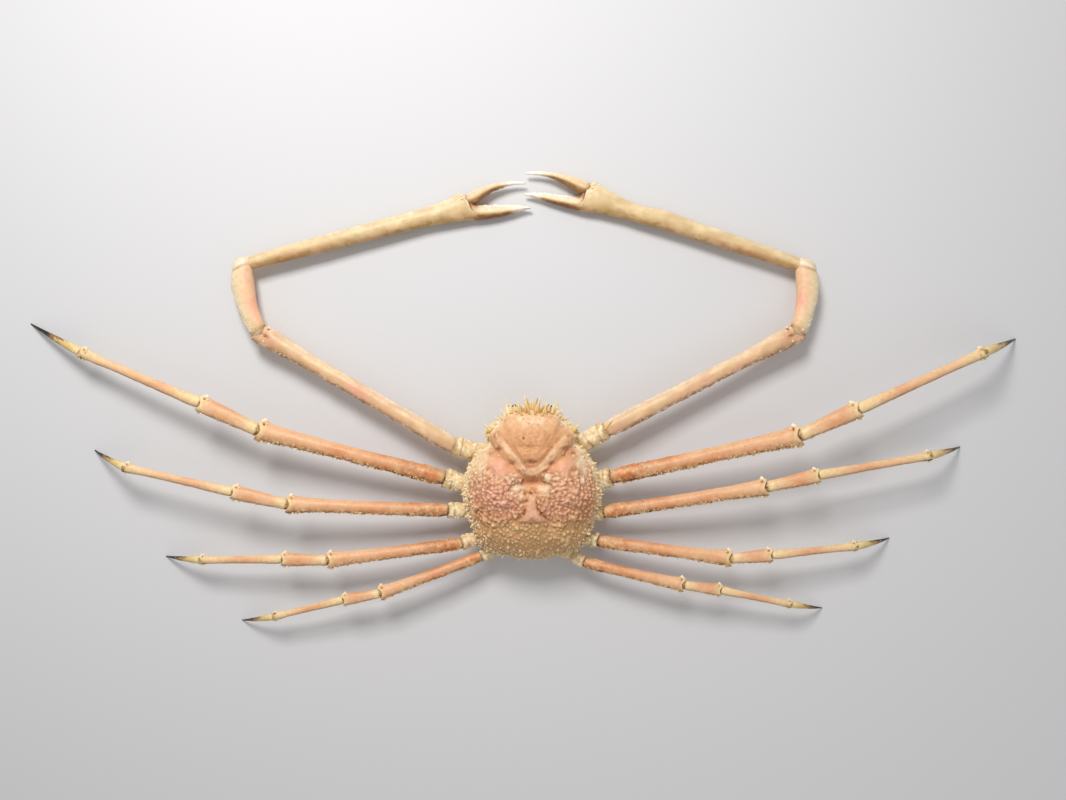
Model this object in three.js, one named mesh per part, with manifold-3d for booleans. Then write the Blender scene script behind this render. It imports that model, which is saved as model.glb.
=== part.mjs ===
// A life-size Japanese spider crab, lying on its belly with its legs and claws spread.
// Millimetres, +Z up, +Y towards the rostrum, +X to the crab's own right. The origin is
// the middle of the belly's small resting flat. Positions below are [right, forward, up].

import * as THREE from 'three';
import { mergeVertices } from 'three/addons/utils/BufferGeometryUtils.js';
import Module from 'manifold-3d';

const wasm = await Module();
wasm.setup();

// Fits shared by all pieces
const gap = 0.3; // clear space between neighbouring pieces
const flatSink = 1.2; // how far a toe or claw would reach below the floor before its flat is cut

// Body
const carapaceCrown = 146; // top of the plain dome, before the regions swell it
const rimHeightMiddle = 70; // height of the widest line, half way back
const rimHeightSlope = 16; // how much that line rises to the front and falls to the rear
const partingHeight = 44; // the carapace ends here and the underside begins
const bellyHeight = 5;
const domeRoundness = 2.1;
const domeFullness = 0.6;
const spokes = 40;
const domeRings = [0.13, 0.27, 0.41, 0.54, 0.66, 0.77, 0.86, 0.93, 0.98, 1];
// Rings below the rim: share of the outline, share of the way down to the parting or the belly
const flankRings = [[0.975, 0.55], [0.93, 1]];
const bellyRings = [[0.5, 0], [0.93, 0], [0.86, 0.41], [0.72, 0.84], [0.62, 1]];
const fadeAtRim = 6; // how sharply the swellings below die away at the rim

// The carapace seen from above, right half, from the rostrum's root to the rear edge
const halfOutline = [
  [0, 160], [40, 156], [57, 149], [64, 134], [88, 117], [92, 104], [89, 88], [108, 71],
  [131, 33], [141, -12], [140, -40], [122, -94], [116, -116], [100, -133], [51, -149],
];
const rearMiddle = [0, -157];

// Swellings and hollows of the carapace: where, how wide, how high. Paired ones repeat on the left.
const regions = [
  { at: [0, 96], size: [62, 56], lift: 17 }, // stomach dome
  { at: [74, 104], size: [20, 22], lift: 7, paired: true }, // liver swellings
  { at: [78, 0], size: [50, 62], lift: 20, paired: true }, // gill swellings
  { at: [0, 4], size: [32, 13], lift: -12 }, // hollow in front of the heart
  { at: [0, -60], size: [26, 26], lift: 7 }, // heart plate
  { at: [38, 44], size: [14, 12], lift: -9, paired: true }, // pits beside the U ridge
  { at: [40, -50], size: [12, 34], lift: -7, paired: true }, // furrows beside the heart plate
  { at: [44, -112], size: [32, 26], lift: 6, paired: true }, // rear lobes
];

// Knobs of the carapace, scattered where they grow: thick over the gills and to the rear
const knobs = {
  count: 58, seed: 7, tries: 6000, spacing: 20, frontLimit: 28, edgeShare: 0.88,
  radius: 6.6, height: 6.5, sizes: [0.7, 1.2], sides: 4, shoulder: 0.5, shoulderSize: 0.66, sink: 0.7,
};

// Single spines of the head and flanks: root on the plan, tip, root radius. All repeat on the left.
const headSpines = [
  { root: [9, 150], tip: [17, 184, 96], radius: 5.5 }, // rostral horns
  { root: [24, 148], tip: [31, 173, 88], radius: 4.5 },
  { root: [41, 146], tip: [45, 164, 92], radius: 4.5 },
  { root: [60, 132], tip: [70, 140, 92], radius: 4.5 },
  { root: [83, 110], tip: [99, 124, 86], radius: 5 }, // liver spines
  { root: [86, 99], tip: [100, 101, 84], radius: 4 },
  { root: [28, 112], tip: [30, 117, 150], radius: 5.5 },
  { root: [14, 76], tip: [15, 78, 168], radius: 5 },
];
const flankSpines = {
  bearings: [52, 62, 71, 80, 98, 107, 116, 125, 134, 146, 158, 170], // degrees from the rostrum
  share: 0.975, length: 12, shortShare: 0.75, rise: 0.45, radius: 4.6,
};

// Spinules of the legs: two rows along the rear and lower edges of each thigh
const legSpines = {
  rows: [-150, -95], count: 5, from: 0.08, to: 0.9, length: 6.5, radius: 3.4, lean: 0.55,
  seat: 0.42, legWidth: 28, // roots lie this share of the width out, and grow with legs wider than this
};
const condyle = { radius: 0.2, height: 0.3, back: 0.34, out: 0.52, rise: 0.4 }; // joint knob, in leg widths
const teeth = { count: 8, from: 0.3, to: 0.86, radius: 2.6, height: 5.2, shoulderSize: 0.75, seat: 0.42 };

// Joints of each walking leg, from inside the body out to the toe
const legs = [
  {
    name: 'left_leg_1', width: 33,
    joints: [
      [-88, -20, 38], [-182, 11, 56], [-557, 111, 84],
      [-677, 166, 82], [-935, 271, 53], [-1068, 334, 0],
    ],
  },
  {
    name: 'left_leg_2', width: 28,
    joints: [
      [-88, -60, 38], [-174, -56, 54], [-497, -39, 88],
      [-608, -14, 90], [-834, 35, 76], [-932, 65, 0],
    ],
  },
  {
    name: 'left_leg_3', width: 26,
    joints: [
      [-73, -102, 36], [-145, -125, 50], [-418, -156, 72],
      [-513, -154, 70], [-686, -158, 57], [-780, -161, 0],
    ],
  },
  {
    name: 'left_leg_4', width: 23,
    joints: [
      [-34, -121, 36], [-106, -152, 48], [-312, -225, 66],
      [-389, -239, 64], [-536, -277, 52], [-618, -297, 0],
    ],
  },
  {
    name: 'right_leg_1', width: 33,
    joints: [
      [85, -20, 38], [163, 13, 58], [540, 101, 100],
      [655, 154, 110], [915, 269, 97], [1030, 302, 0],
    ],
  },
  {
    name: 'right_leg_2', width: 28,
    joints: [
      [85, -60, 38], [149, -60, 54], [476, -4, 90],
      [580, 20, 95], [812, 59, 82], [912, 72, 0],
    ],
  },
  {
    name: 'right_leg_3', width: 26,
    joints: [
      [71, -102, 36], [137, -120, 50], [407, -152, 74],
      [491, -145, 74], [670, -129, 60], [761, -122, 0],
    ],
  },
  {
    name: 'right_leg_4', width: 23,
    joints: [
      [31, -121, 36], [108, -164, 48], [312, -208, 66],
      [389, -219, 64], [537, -251, 52], [618, -271, 0],
    ],
  },
];

// The two arms that carry the claws: joints out to the wrist, where the elbow piece ends beside
// the wrist, the palm's end, and the two fingers with their widths
const arms = [
  {
    name: 'right_claw', outward: 1,
    joints: [[62, 57, 42], [153, 110, 56], [552, 312, 40], [556, 457, 30], [127, 600, 17]],
    carpusEnd: [572, 452, 30],
    fixedFinger: [
      [150, 582, 17], [120, 584, 17], [80, 591, 16],
      [38, 600, 15], [-4, 607, 14], [-16, 607, 14],
    ],
    dactyl: [
      [124, 619, 20], [112, 624, 20], [72, 636, 19],
      [38, 647, 18], [-4, 650, 17], [-14, 650, 17],
    ],
  },
  {
    name: 'left_claw', outward: -1,
    joints: [[-67, 51, 42], [-161, 77, 56], [-567, 312, 40], [-591, 459, 30], [-148, 578, 17]],
    carpusEnd: [-606, 455, 30],
    fixedFinger: [
      [-160, 560, 17], [-131, 563, 17], [-106, 568, 16],
      [-68, 574, 15], [-20, 577, 14], [-4, 577, 14],
    ],
    dactyl: [
      [-146, 597, 20], [-131, 602, 20], [-106, 609, 19],
      [-68, 623, 18], [-28, 629, 17], [-14, 630, 17],
    ],
  },
];
const armWidth = 34;
const fixedFingerWidths = [26, 25, 21, 16, 9, 5];
const dactylWidths = [20, 26, 23, 16, 9, 5];
const carpusSwing = 12; // how far the elbow piece bows outward

// Small pieces of the head and belly
const eye = { at: [40, 161, 82], root: [30, 140, 80], radius: 6.5, stalk: 4 };
const antenna = { root: [52, 138, 72], at: [50, 178, 74], width: 7 };
const mouthplate = { root: [15, 104, 9], at: [13, 153, 39], width: 27, thickness: 0.55 };
const flap = { rear: [0, -101, 3], front: [0, 48, 3], width: 62, thickness: 0.3, somites: 6, taper: 0.42 };

// Profiles of the limbs' pieces and of the head's small ones. Each row is a ring: the end it is
// measured from (0 start, 1 end), its distance from that end in widths, and its share of the width.
const profiles = {
  base: [
    [0, 0, 1.05], [0, 0.9, 1.2], [0, 1.6, 1.16], [1, -1.1, 1.0], [1, -0.7, 1.16], [1, -0.2, 1.02],
    [1, 0.15, 0.6],
  ],
  merus: [
    [0, -0.15, 0.6], [0, 0.1, 0.86], [0, 0.6, 0.98], [0, 2.2, 0.94], [0.5, 0, 0.9], [1, -2.6, 0.96],
    [1, -0.95, 1.12], [1, -0.4, 1.3], [1, -0.05, 1.1], [1, 0.2, 0.66],
  ],
  carpus: [
    [0, -0.2, 0.6], [0, 0.1, 0.84], [0, 0.7, 0.8], [0.5, 0, 0.92], [1, -0.9, 1.02], [1, -0.35, 1.06],
    [1, 0, 0.8], [1, 0.2, 0.5],
  ],
  propodus: [
    [0, -0.15, 0.5], [0, 0.15, 0.74], [0, 0.8, 0.72], [0.35, 0, 0.62], [0.75, 0, 0.6], [1, -0.9, 0.7],
    [1, -0.3, 0.78], [1, 0, 0.6], [1, 0.15, 0.4],
  ],
  dactyl: [
    [0, -0.1, 0.42], [0, 0.12, 0.62], [0, 0.6, 0.58], [0.4, 0, 0.44], [0.7, 0, 0.3], [0.9, 0, 0.17],
    [1, 0, 0.11],
  ],
  armBase: [
    [0, 0, 1.1], [0, 0.9, 1.25], [1, -1.2, 1.05], [1, -0.7, 1.16], [1, -0.2, 1.05], [1, 0.15, 0.6],
  ],
  armMerus: [
    [0, -0.15, 0.6], [0, 0.2, 1.0], [0, 1.2, 1.1], [0.3, 0, 0.98], [0.7, 0, 0.94], [1, -2.4, 1.08],
    [1, -0.9, 1.26], [1, -0.3, 1.2], [1, 0.1, 0.85], [1, 0.3, 0.5],
  ],
  armCarpus: [
    [0, -0.25, 0.6], [0, 0.1, 0.96], [0, 0.7, 1.06], [0.45, 0, 1.22], [0.72, 0, 1.42], [1, -0.25, 1.34],
    [1, 0.2, 1.1], [1, 0.5, 0.62],
  ],
  palm: [
    [0, -0.3, 0.5], [0, 0.05, 0.76], [0, 0.9, 0.84], [0.35, 0, 1.02], [0.7, 0, 1.1], [1, -2.2, 1.2],
    [1, -0.9, 1.56], [1, -0.2, 1.5], [1, 0.25, 1.0],
  ],
  stalk: [[0, 0, 1], [0.5, 0, 1], [1, 0, 1]],
  feeler: [[0, 0, 1], [0.4, 0, 0.95], [0.6, 0, 0.62], [0.95, 0, 0.3]],
  plate: [[0, -0.1, 0.6], [0, 0.15, 0.9], [0.5, 0, 1], [0.52, 0, 0.94], [0.8, 0, 0.86], [1, 0, 0.5]],
};

// Colours of the dry shell, eyes and feelers
const shellPaint = {
  carapace: 0xe0a27c,
  underside: 0xecd3a4,
  base: 0xe8cb88,
  merus: 0xdf9066,
  carpus: 0xe9b58a,
  propodus: 0xf0cba4,
  dactyl: 0x8f7440,
  claw: 0xf0dba6,
  eye: 0x241a14,
  feeler: 0xead9a0,
};

const up = new THREE.Vector3(0, 0, 1);
const vec = ([x, y, z]) => new THREE.Vector3(x, y, z);

// Closed mesh from rings of points in order along a piece, with a pole at each end
function skin(rings, startPole, endPole) {
  const count = rings[0].length;
  const points = [startPole, ...rings.flat(), endPole];
  const last = points.length - 1;
  const index = [];
  for (let i = 0; i < count; i++) {
    const j = (i + 1) % count;
    index.push(0, 1 + j, 1 + i);
    for (let r = 0; r < rings.length - 1; r++) {
      const a = 1 + r * count;
      const b = a + count;
      index.push(a + i, a + j, b + j, a + i, b + j, b + i);
    }
    const end = 1 + (rings.length - 1) * count;
    index.push(end + i, end + j, last);
  }
  const geometry = new THREE.BufferGeometry().setFromPoints(points);
  geometry.setIndex(index);
  return geometry;
}

function toSolid(source) {
  let geometry = source.clone();
  geometry.deleteAttribute('normal');
  geometry.deleteAttribute('uv');
  geometry = mergeVertices(geometry, 1e-4);
  return new wasm.Manifold(new wasm.Mesh({
    numProp: 3,
    vertProperties: new Float32Array(geometry.attributes.position.array),
    triVerts: new Uint32Array(geometry.index.array),
  }));
}

function toGeometry(solid) {
  const mesh = solid.getMesh();
  const geometry = new THREE.BufferGeometry();
  geometry.setAttribute('position', new THREE.BufferAttribute(mesh.vertProperties, 3));
  geometry.setIndex(new THREE.BufferAttribute(mesh.triVerts, 1));
  return geometry;
}

// A node keeps only its largest closed surface
function largest(solid) {
  const parts = solid.decompose();
  return parts.reduce((best, part) => (part.volume() > best.volume() ? part : best));
}

// A box that fills everything on the far side of a plane, within reach of the piece
function beyond(point, normal, reach = 900) {
  const box = new THREE.BoxGeometry(reach, reach, reach);
  box.translate(0, 0, reach / 2);
  box.applyQuaternion(new THREE.Quaternion().setFromUnitVectors(up, normal));
  box.translate(point.x, point.y, point.z);
  return toSolid(box);
}

const floor = beyond(new THREE.Vector3(0, 0, 0), new THREE.Vector3(0, 0, -1), 3000);

// Seeded random numbers from 0 to 1
function randomFrom(seed) {
  let state = seed;
  return () => {
    state = (state + 0x6d2b79f5) | 0;
    let mix = Math.imul(state ^ (state >>> 15), 1 | state);
    mix = (mix + Math.imul(mix ^ (mix >>> 7), 61 | mix)) ^ mix;
    return ((mix ^ (mix >>> 14)) >>> 0) / 4294967296;
  };
}

// A spine or knob: a root sunk in the surface, a shoulder, and a tip
function thorn({ root, tip, radius, sides = 4, shoulder = 0.45, shoulderSize = 0.62, sink = 1 }) {
  const along = tip.clone().sub(root);
  const length = along.length();
  along.normalize();
  const bottom = root.clone().addScaledVector(along, -radius * sink);
  const helper = Math.abs(along.z) > 0.9 ? new THREE.Vector3(1, 0, 0) : up;
  const across = new THREE.Vector3().crossVectors(helper, along).normalize();
  const rise = new THREE.Vector3().crossVectors(along, across);
  const circle = (centre, size) => Array.from({ length: sides }, (_, i) => {
    const turn = (2 * Math.PI * i) / sides;
    return centre.clone()
      .addScaledVector(across, Math.cos(turn) * size)
      .addScaledVector(rise, Math.sin(turn) * size);
  });
  const waist = root.clone().addScaledVector(along, length * shoulder);
  return toSolid(skin([circle(bottom, radius), circle(waist, radius * shoulderSize)], bottom, tip));
}

const joined = (solid, more) => more.reduce((whole, part) => whole.add(part), solid);

// Ring of points across a limb: width lies level, depth stands up
function ring(centre, along, width, depth, sides) {
  const across = new THREE.Vector3().crossVectors(up, along).normalize();
  const rise = new THREE.Vector3().crossVectors(along, across).normalize();
  const points = [];
  for (let i = 0; i < sides; i++) {
    const turn = (2 * Math.PI * (i + 0.5)) / sides;
    points.push(centre.clone()
      .addScaledVector(across, (Math.cos(turn) * width) / 2)
      .addScaledVector(rise, (Math.sin(turn) * depth) / 2));
  }
  return points;
}

// One piece of a limb between two joints, its rings set by a profile
function limbPiece({ from, to, width, profile, sides = 8, depth = 0.9, bow = 0, swing = 0, taper = 1 }) {
  const span = to.clone().sub(from);
  const length = span.length();
  const along = span.clone().normalize();
  const across = new THREE.Vector3().crossVectors(up, along).normalize();
  const rise = new THREE.Vector3().crossVectors(along, across);
  const centreAt = (t) => {
    const arch = 4 * t * (1 - t);
    return from.clone().addScaledVector(along, t * length)
      .addScaledVector(rise, bow * arch).addScaledVector(across, swing * arch);
  };
  const rings = profile.map(([end, offset, size]) => {
    const t = end + (offset * width) / length;
    const inside = Math.min(Math.max(t, 0), 1);
    const across0 = width * size * THREE.MathUtils.lerp(1, taper, inside);
    return ring(centreAt(t), along, across0, across0 * depth, sides);
  });
  const tEnd = (row, push) => row[0] + ((row[1] + push) * width) / length;
  const poleSink = 0.08;
  return skin(
    rings,
    centreAt(tEnd(profile[0], -poleSink)),
    centreAt(tEnd(profile[profile.length - 1], poleSink)),
  );
}

// The plane half way round a bend, between one piece and the next
function bendNormal(before, joint, after) {
  const inward = joint.clone().sub(before).normalize();
  const outward = after.clone().sub(joint).normalize();
  return inward.add(outward).normalize();
}

function cutEnd(solid, joint, normal) {
  return solid.subtract(beyond(joint.clone().addScaledVector(normal, -gap / 2), normal));
}

function cutStart(solid, joint, normal) {
  const back = normal.clone().negate();
  return solid.subtract(beyond(joint.clone().addScaledVector(back, -gap / 2), back));
}

// Outline of the body as a radius for each bearing, 0 at the rostrum
const outlineCurve = new THREE.CatmullRomCurve3([
  ...halfOutline.map(([x, y]) => new THREE.Vector3(x, y, 0)),
  new THREE.Vector3(...rearMiddle, 0),
  ...halfOutline.slice(1).reverse().map(([x, y]) => new THREE.Vector3(-x, y, 0)),
], true, 'centripetal');
const fullTurn = 2 * Math.PI;
const outlineSteps = 360;
const outlineTable = outlineCurve.getPoints(outlineSteps)
  .map(({ x, y }) => ({ bearing: (Math.atan2(x, y) + fullTurn) % fullTurn, radius: Math.hypot(x, y) }))
  .sort((a, b) => a.bearing - b.bearing);

function outlineRadius(bearing) {
  const turn = ((bearing % fullTurn) + fullTurn) % fullTurn;
  const next = outlineTable.find((row) => row.bearing >= turn) ?? outlineTable[0];
  const before = outlineTable[(outlineTable.indexOf(next) + outlineTable.length - 1) % outlineTable.length];
  const width = next.bearing - before.bearing;
  if (width <= 0) return next.radius;
  return THREE.MathUtils.lerp(before.radius, next.radius, (turn - before.bearing) / width);
}

const rimHeight = (bearing) => rimHeightMiddle + rimHeightSlope * Math.cos(bearing);

// Height of the carapace above a point of the plan
function carapaceHeight(x, y) {
  const bearing = Math.atan2(x, y);
  const share = Math.min(Math.hypot(x, y) / outlineRadius(bearing), 1);
  const rim = rimHeight(bearing);
  let height = rim + (carapaceCrown - rim) * (1 - share ** domeRoundness) ** domeFullness;
  const fade = 1 - share ** fadeAtRim;
  for (const { at, size, lift, paired } of regions) {
    for (const side of paired ? [1, -1] : [1]) {
      const u = (x - side * at[0]) / size[0];
      const v = (y - at[1]) / size[1];
      height += fade * lift * Math.exp(-(u * u + v * v));
    }
  }
  return height;
}

function bodyRing(share, heightAt, grow) {
  const points = [];
  for (let i = 0; i < spokes; i++) {
    const bearing = (2 * Math.PI * i) / spokes;
    const radius = share * outlineRadius(bearing);
    const x = radius * Math.sin(bearing);
    const y = radius * Math.cos(bearing);
    const wider = (radius + grow) / radius;
    points.push(new THREE.Vector3(x * wider, y * wider, heightAt(x, y, bearing)));
  }
  return points;
}

// Rings run from the crown down. With grow, the shell is that much larger all round.
function carapaceShell(grow = 0) {
  const dome = (x, y) => carapaceHeight(x, y) + grow;
  const bottom = partingHeight - grow;
  const flank = (down) => (x, y, bearing) => THREE.MathUtils.lerp(rimHeight(bearing), bottom, down);
  const rings = [
    ...domeRings.map((share) => bodyRing(share, dome, grow)),
    ...flankRings.map(([share, down]) => bodyRing(share, flank(down), grow)),
  ];
  return skin(rings, new THREE.Vector3(0, 0, dome(0, 0)), new THREE.Vector3(0, 0, bottom));
}

function undersideShell(grow = 0) {
  const top = partingHeight - gap + grow;
  const bottom = bellyHeight - grow;
  const level = (down) => () => THREE.MathUtils.lerp(top, bottom, down);
  const rings = bellyRings.map(([share, down]) => bodyRing(share, level(down), grow));
  return skin(rings, new THREE.Vector3(0, 0, top), new THREE.Vector3(0, 0, bottom));
}

// Point of the dome over the plan, and the way the surface faces there
function domePoint(x, y) {
  const step = 1;
  const slopeX = (carapaceHeight(x + step, y) - carapaceHeight(x - step, y)) / (2 * step);
  const slopeY = (carapaceHeight(x, y + step) - carapaceHeight(x, y - step)) / (2 * step);
  return {
    point: new THREE.Vector3(x, y, carapaceHeight(x, y)),
    normal: new THREE.Vector3(-slopeX, -slopeY, 1).normalize(),
  };
}

// Knobs keep their distance from each other and thin out over the stomach dome
function carapaceKnobs() {
  const random = randomFrom(knobs.seed);
  const placed = [];
  const solids = [];
  for (let tries = 0; tries < knobs.tries && placed.length < knobs.count; tries++) {
    const bearing = random() * fullTurn;
    const share = Math.sqrt(random()) * knobs.edgeShare;
    const size = THREE.MathUtils.lerp(...knobs.sizes, random());
    const radius = share * outlineRadius(bearing);
    const x = radius * Math.sin(bearing);
    const y = radius * Math.cos(bearing);
    const room = y > knobs.frontLimit ? 2 * knobs.spacing : knobs.spacing;
    if (placed.some((other) => Math.hypot(other.x - x, other.y - y) < room)) continue;
    placed.push({ x, y });
    const { point, normal } = domePoint(x, y);
    const tip = point.clone().addScaledVector(normal, knobs.height * size);
    solids.push(thorn({ ...knobs, root: point, tip, radius: knobs.radius * size }));
  }
  return solids;
}

function carapaceSpines() {
  const solids = [];
  for (const side of [-1, 1]) {
    for (const { root, tip, radius } of headSpines) {
      const { point } = domePoint(side * root[0], root[1]);
      solids.push(thorn({ root: point, tip: new THREE.Vector3(side * tip[0], tip[1], tip[2]), radius }));
    }
    flankSpines.bearings.forEach((degrees, i) => {
      const bearing = side * THREE.MathUtils.degToRad(degrees);
      const reach = flankSpines.share * outlineRadius(bearing);
      const { point } = domePoint(reach * Math.sin(bearing), reach * Math.cos(bearing));
      const outward = new THREE.Vector3(Math.sin(bearing), Math.cos(bearing), flankSpines.rise).normalize();
      const length = flankSpines.length * (i % 2 ? flankSpines.shortShare : 1);
      const tip = point.clone().addScaledVector(outward, length);
      solids.push(thorn({ root: point, tip, radius: flankSpines.radius }));
    });
  }
  return solids;
}

const crab = new THREE.Group();

function paint(colour, roughness = 0.7) {
  return new THREE.MeshStandardMaterial({ color: colour, roughness, metalness: 0 });
}

// Names a finished solid and hangs it in its group at its own joint
function hang(parent, name, solid, origin, material) {
  const geometry = toGeometry(largest(solid));
  geometry.translate(-origin.x, -origin.y, -origin.z);
  const mesh = new THREE.Mesh(geometry, material);
  mesh.name = name;
  const parentPlace = parent.userData.place ?? new THREE.Vector3();
  mesh.position.copy(origin).sub(parentPlace);
  parent.add(mesh);
  return mesh;
}

// Body
const middle = new THREE.Vector3();
const carapace = joined(toSolid(carapaceShell()), [...carapaceKnobs(), ...carapaceSpines()]);
hang(crab, 'carapace', carapace, middle, paint(shellPaint.carapace));
hang(crab, 'underside', toSolid(undersideShell()), middle, paint(shellPaint.underside));
const bodyKeepOut = toSolid(carapaceShell(gap)).add(toSolid(undersideShell(gap)));

// Rows of spinules on a thigh, and the knob of its outer joint on the leading side
function thighSpines(from, to, width, bow, side) {
  const along = to.clone().sub(from).normalize();
  const across = new THREE.Vector3().crossVectors(up, along).normalize();
  const lead = across.clone().multiplyScalar(side);
  const rise = new THREE.Vector3().crossVectors(along, across);
  const length = from.distanceTo(to);
  const solids = [];
  legSpines.rows.forEach((degrees, row) => {
    const turn = THREE.MathUtils.degToRad(degrees);
    const facing = lead.clone().multiplyScalar(Math.cos(turn)).addScaledVector(rise, Math.sin(turn));
    for (let i = 0; i < legSpines.count; i++) {
      const t = THREE.MathUtils.lerp(legSpines.from, legSpines.to, (i + 0.5 * row) / legSpines.count);
      const size = (width / legSpines.legWidth) * (0.8 + 0.4 * ((i * 3 + row) % 4) / 3);
      const root = from.clone().addScaledVector(along, t * length)
        .addScaledVector(rise, 4 * bow * t * (1 - t)).addScaledVector(facing, width * legSpines.seat);
      const lean = facing.clone().addScaledVector(along, legSpines.lean).normalize();
      const tip = root.clone().addScaledVector(lean, legSpines.length * size);
      solids.push(thorn({ root, tip, radius: legSpines.radius * size }));
    }
  });
  const knobRoot = to.clone().addScaledVector(along, -condyle.back * width)
    .addScaledVector(lead, condyle.out * width);
  const knobWay = lead.clone().addScaledVector(rise, condyle.rise).normalize();
  const knobTip = knobRoot.clone().addScaledVector(knobWay, condyle.height * width);
  solids.push(thorn({ root: knobRoot, tip: knobTip, radius: condyle.radius * width }));
  return solids;
}

// Walking legs
const pieceNames = ['base', 'merus', 'carpus', 'propodus', 'dactyl'];
const toeTipShare = 0.04;
const pieceShape = {
  base: { sides: 9 },
  merus: { bow: 5 },
  carpus: { bow: 2 },
  propodus: { bow: 3, taper: 0.9, sides: 7 },
  dactyl: { bow: 5, sides: 6 },
};
for (const { name, width, joints } of legs) {
  const leg = new THREE.Group();
  const points = joints.map(vec);
  leg.userData.place = points[0];
  leg.position.copy(points[0]);
  crab.add(leg);
  pieceNames.forEach((piece, i) => {
    const from = points[i];
    const to = points[i + 1].clone();
    if (piece === 'dactyl') to.z -= flatSink - width * toeTipShare;
    let solid = toSolid(limbPiece({ from, to, width, profile: profiles[piece], ...pieceShape[piece] }));
    if (piece === 'base') solid = solid.subtract(bodyKeepOut);
    if (piece === 'merus') {
      const side = name.startsWith('left') ? -1 : 1;
      solid = joined(solid, thighSpines(from, to, width, pieceShape.merus.bow, side));
    }
    if (piece !== 'base') solid = cutStart(solid, from, bendNormal(points[i - 1], from, to));
    if (piece === 'dactyl') solid = solid.subtract(floor);
    else solid = cutEnd(solid, points[i + 1], bendNormal(from, points[i + 1], points[i + 2]));
    hang(leg, `${name}_${piece}`, solid, from, paint(shellPaint[piece]));
  });
}

const alongFinger = (points) => new THREE.CatmullRomCurve3(points.map(vec), false, 'centripetal');

// Width part of the way along a list of widths
function widthAt(widths, t) {
  const slot = Math.min(Math.floor(t * (widths.length - 1)), widths.length - 2);
  return THREE.MathUtils.lerp(widths[slot], widths[slot + 1], t * (widths.length - 1) - slot);
}

// Tube along a short curve, its width set at each of the curve's points
function finger(points, widths, { sides = 8, depth = 0.85, steps = 8 } = {}) {
  const curve = alongFinger(points);
  const rings = [];
  for (let i = 0; i <= steps; i++) {
    const t = i / steps;
    const width = widthAt(widths, t);
    rings.push(ring(curve.getPoint(t), curve.getTangent(t), width, width * depth, sides));
  }
  const first = curve.getPoint(0).addScaledVector(curve.getTangent(0), -widths[0] * 0.25);
  const last = curve.getPoint(1).addScaledVector(curve.getTangent(1), widths[widths.length - 1] * 0.4);
  return skin(rings, first, last);
}

// Blunt teeth along the inner edge of a fixed finger, which faces forward
function fingerTeeth(points, widths) {
  const curve = alongFinger(points);
  return Array.from({ length: teeth.count }, (_, i) => {
    const t = THREE.MathUtils.lerp(teeth.from, teeth.to, i / (teeth.count - 1));
    const tangent = curve.getTangent(t);
    const inner = new THREE.Vector3(-tangent.y, tangent.x, 0).normalize();
    if (inner.y < 0) inner.negate();
    const root = curve.getPoint(t).addScaledVector(inner, widthAt(widths, t) * teeth.seat);
    const size = 1.1 - 0.5 * t;
    const tip = root.clone().addScaledVector(inner, teeth.height * size);
    return thorn({ root, tip, radius: teeth.radius * size, shoulderSize: teeth.shoulderSize });
  });
}

// Arms with the claws
const armShape = {
  armBase: { sides: 10 },
  armMerus: { bow: 4, sides: 9 },
  armCarpus: { depth: 0.8, sides: 10 },
  palm: { depth: 0.72, sides: 10, bow: 3 },
};
for (const { name, outward, joints, carpusEnd, fixedFinger, dactyl } of arms) {
  const arm = new THREE.Group();
  const [hip, shoulder, elbow, wrist, knuckle] = joints.map(vec);
  arm.userData.place = hip;
  arm.position.copy(hip);
  crab.add(arm);
  const piece = (shape, from, to, more = {}) => toSolid(
    limbPiece({ from, to, width: armWidth, profile: profiles[shape], ...armShape[shape], ...more }),
  );
  const shoulderNormal = bendNormal(hip, shoulder, elbow);
  const elbowNormal = bendNormal(shoulder, elbow, vec(carpusEnd));
  const wristNormal = knuckle.clone().sub(wrist).normalize();

  const base = cutEnd(piece('armBase', hip, shoulder).subtract(bodyKeepOut), shoulder, shoulderNormal);
  const upperArm = cutStart(piece('armMerus', shoulder, elbow), shoulder, shoulderNormal);
  const merus = cutEnd(upperArm, elbow, elbowNormal);
  const elbowPiece = piece('armCarpus', elbow, vec(carpusEnd), { swing: -outward * carpusSwing });
  const carpus = cutEnd(cutStart(elbowPiece, elbow, elbowNormal), wrist, wristNormal);
  const palm = cutStart(piece('palm', wrist, knuckle), wrist, wristNormal);
  const hand = joined(palm, [
    toSolid(finger(fixedFinger, fixedFingerWidths)), ...fingerTeeth(fixedFinger, fixedFingerWidths),
  ]).subtract(floor);
  const widerPalm = profiles.palm.map(([end, offset, size]) => [end, offset, size + (2 * gap) / armWidth]);
  const widerFinger = finger(fixedFinger, fixedFingerWidths.map((width) => width + 2 * gap));
  const clear = piece('palm', wrist, knuckle, { profile: widerPalm }).add(toSolid(widerFinger));
  const movable = toSolid(finger(dactyl, dactylWidths)).subtract(clear);
  hang(arm, `${name}_base`, base, hip, paint(shellPaint.base));
  hang(arm, `${name}_merus`, merus, shoulder, paint(shellPaint.merus));
  hang(arm, `${name}_carpus`, carpus, elbow, paint(shellPaint.claw));
  hang(arm, `${name}_propodus`, hand, wrist, paint(shellPaint.claw));
  hang(arm, `${name}_dactyl`, movable, knuckle, paint(shellPaint.claw));
}

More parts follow.
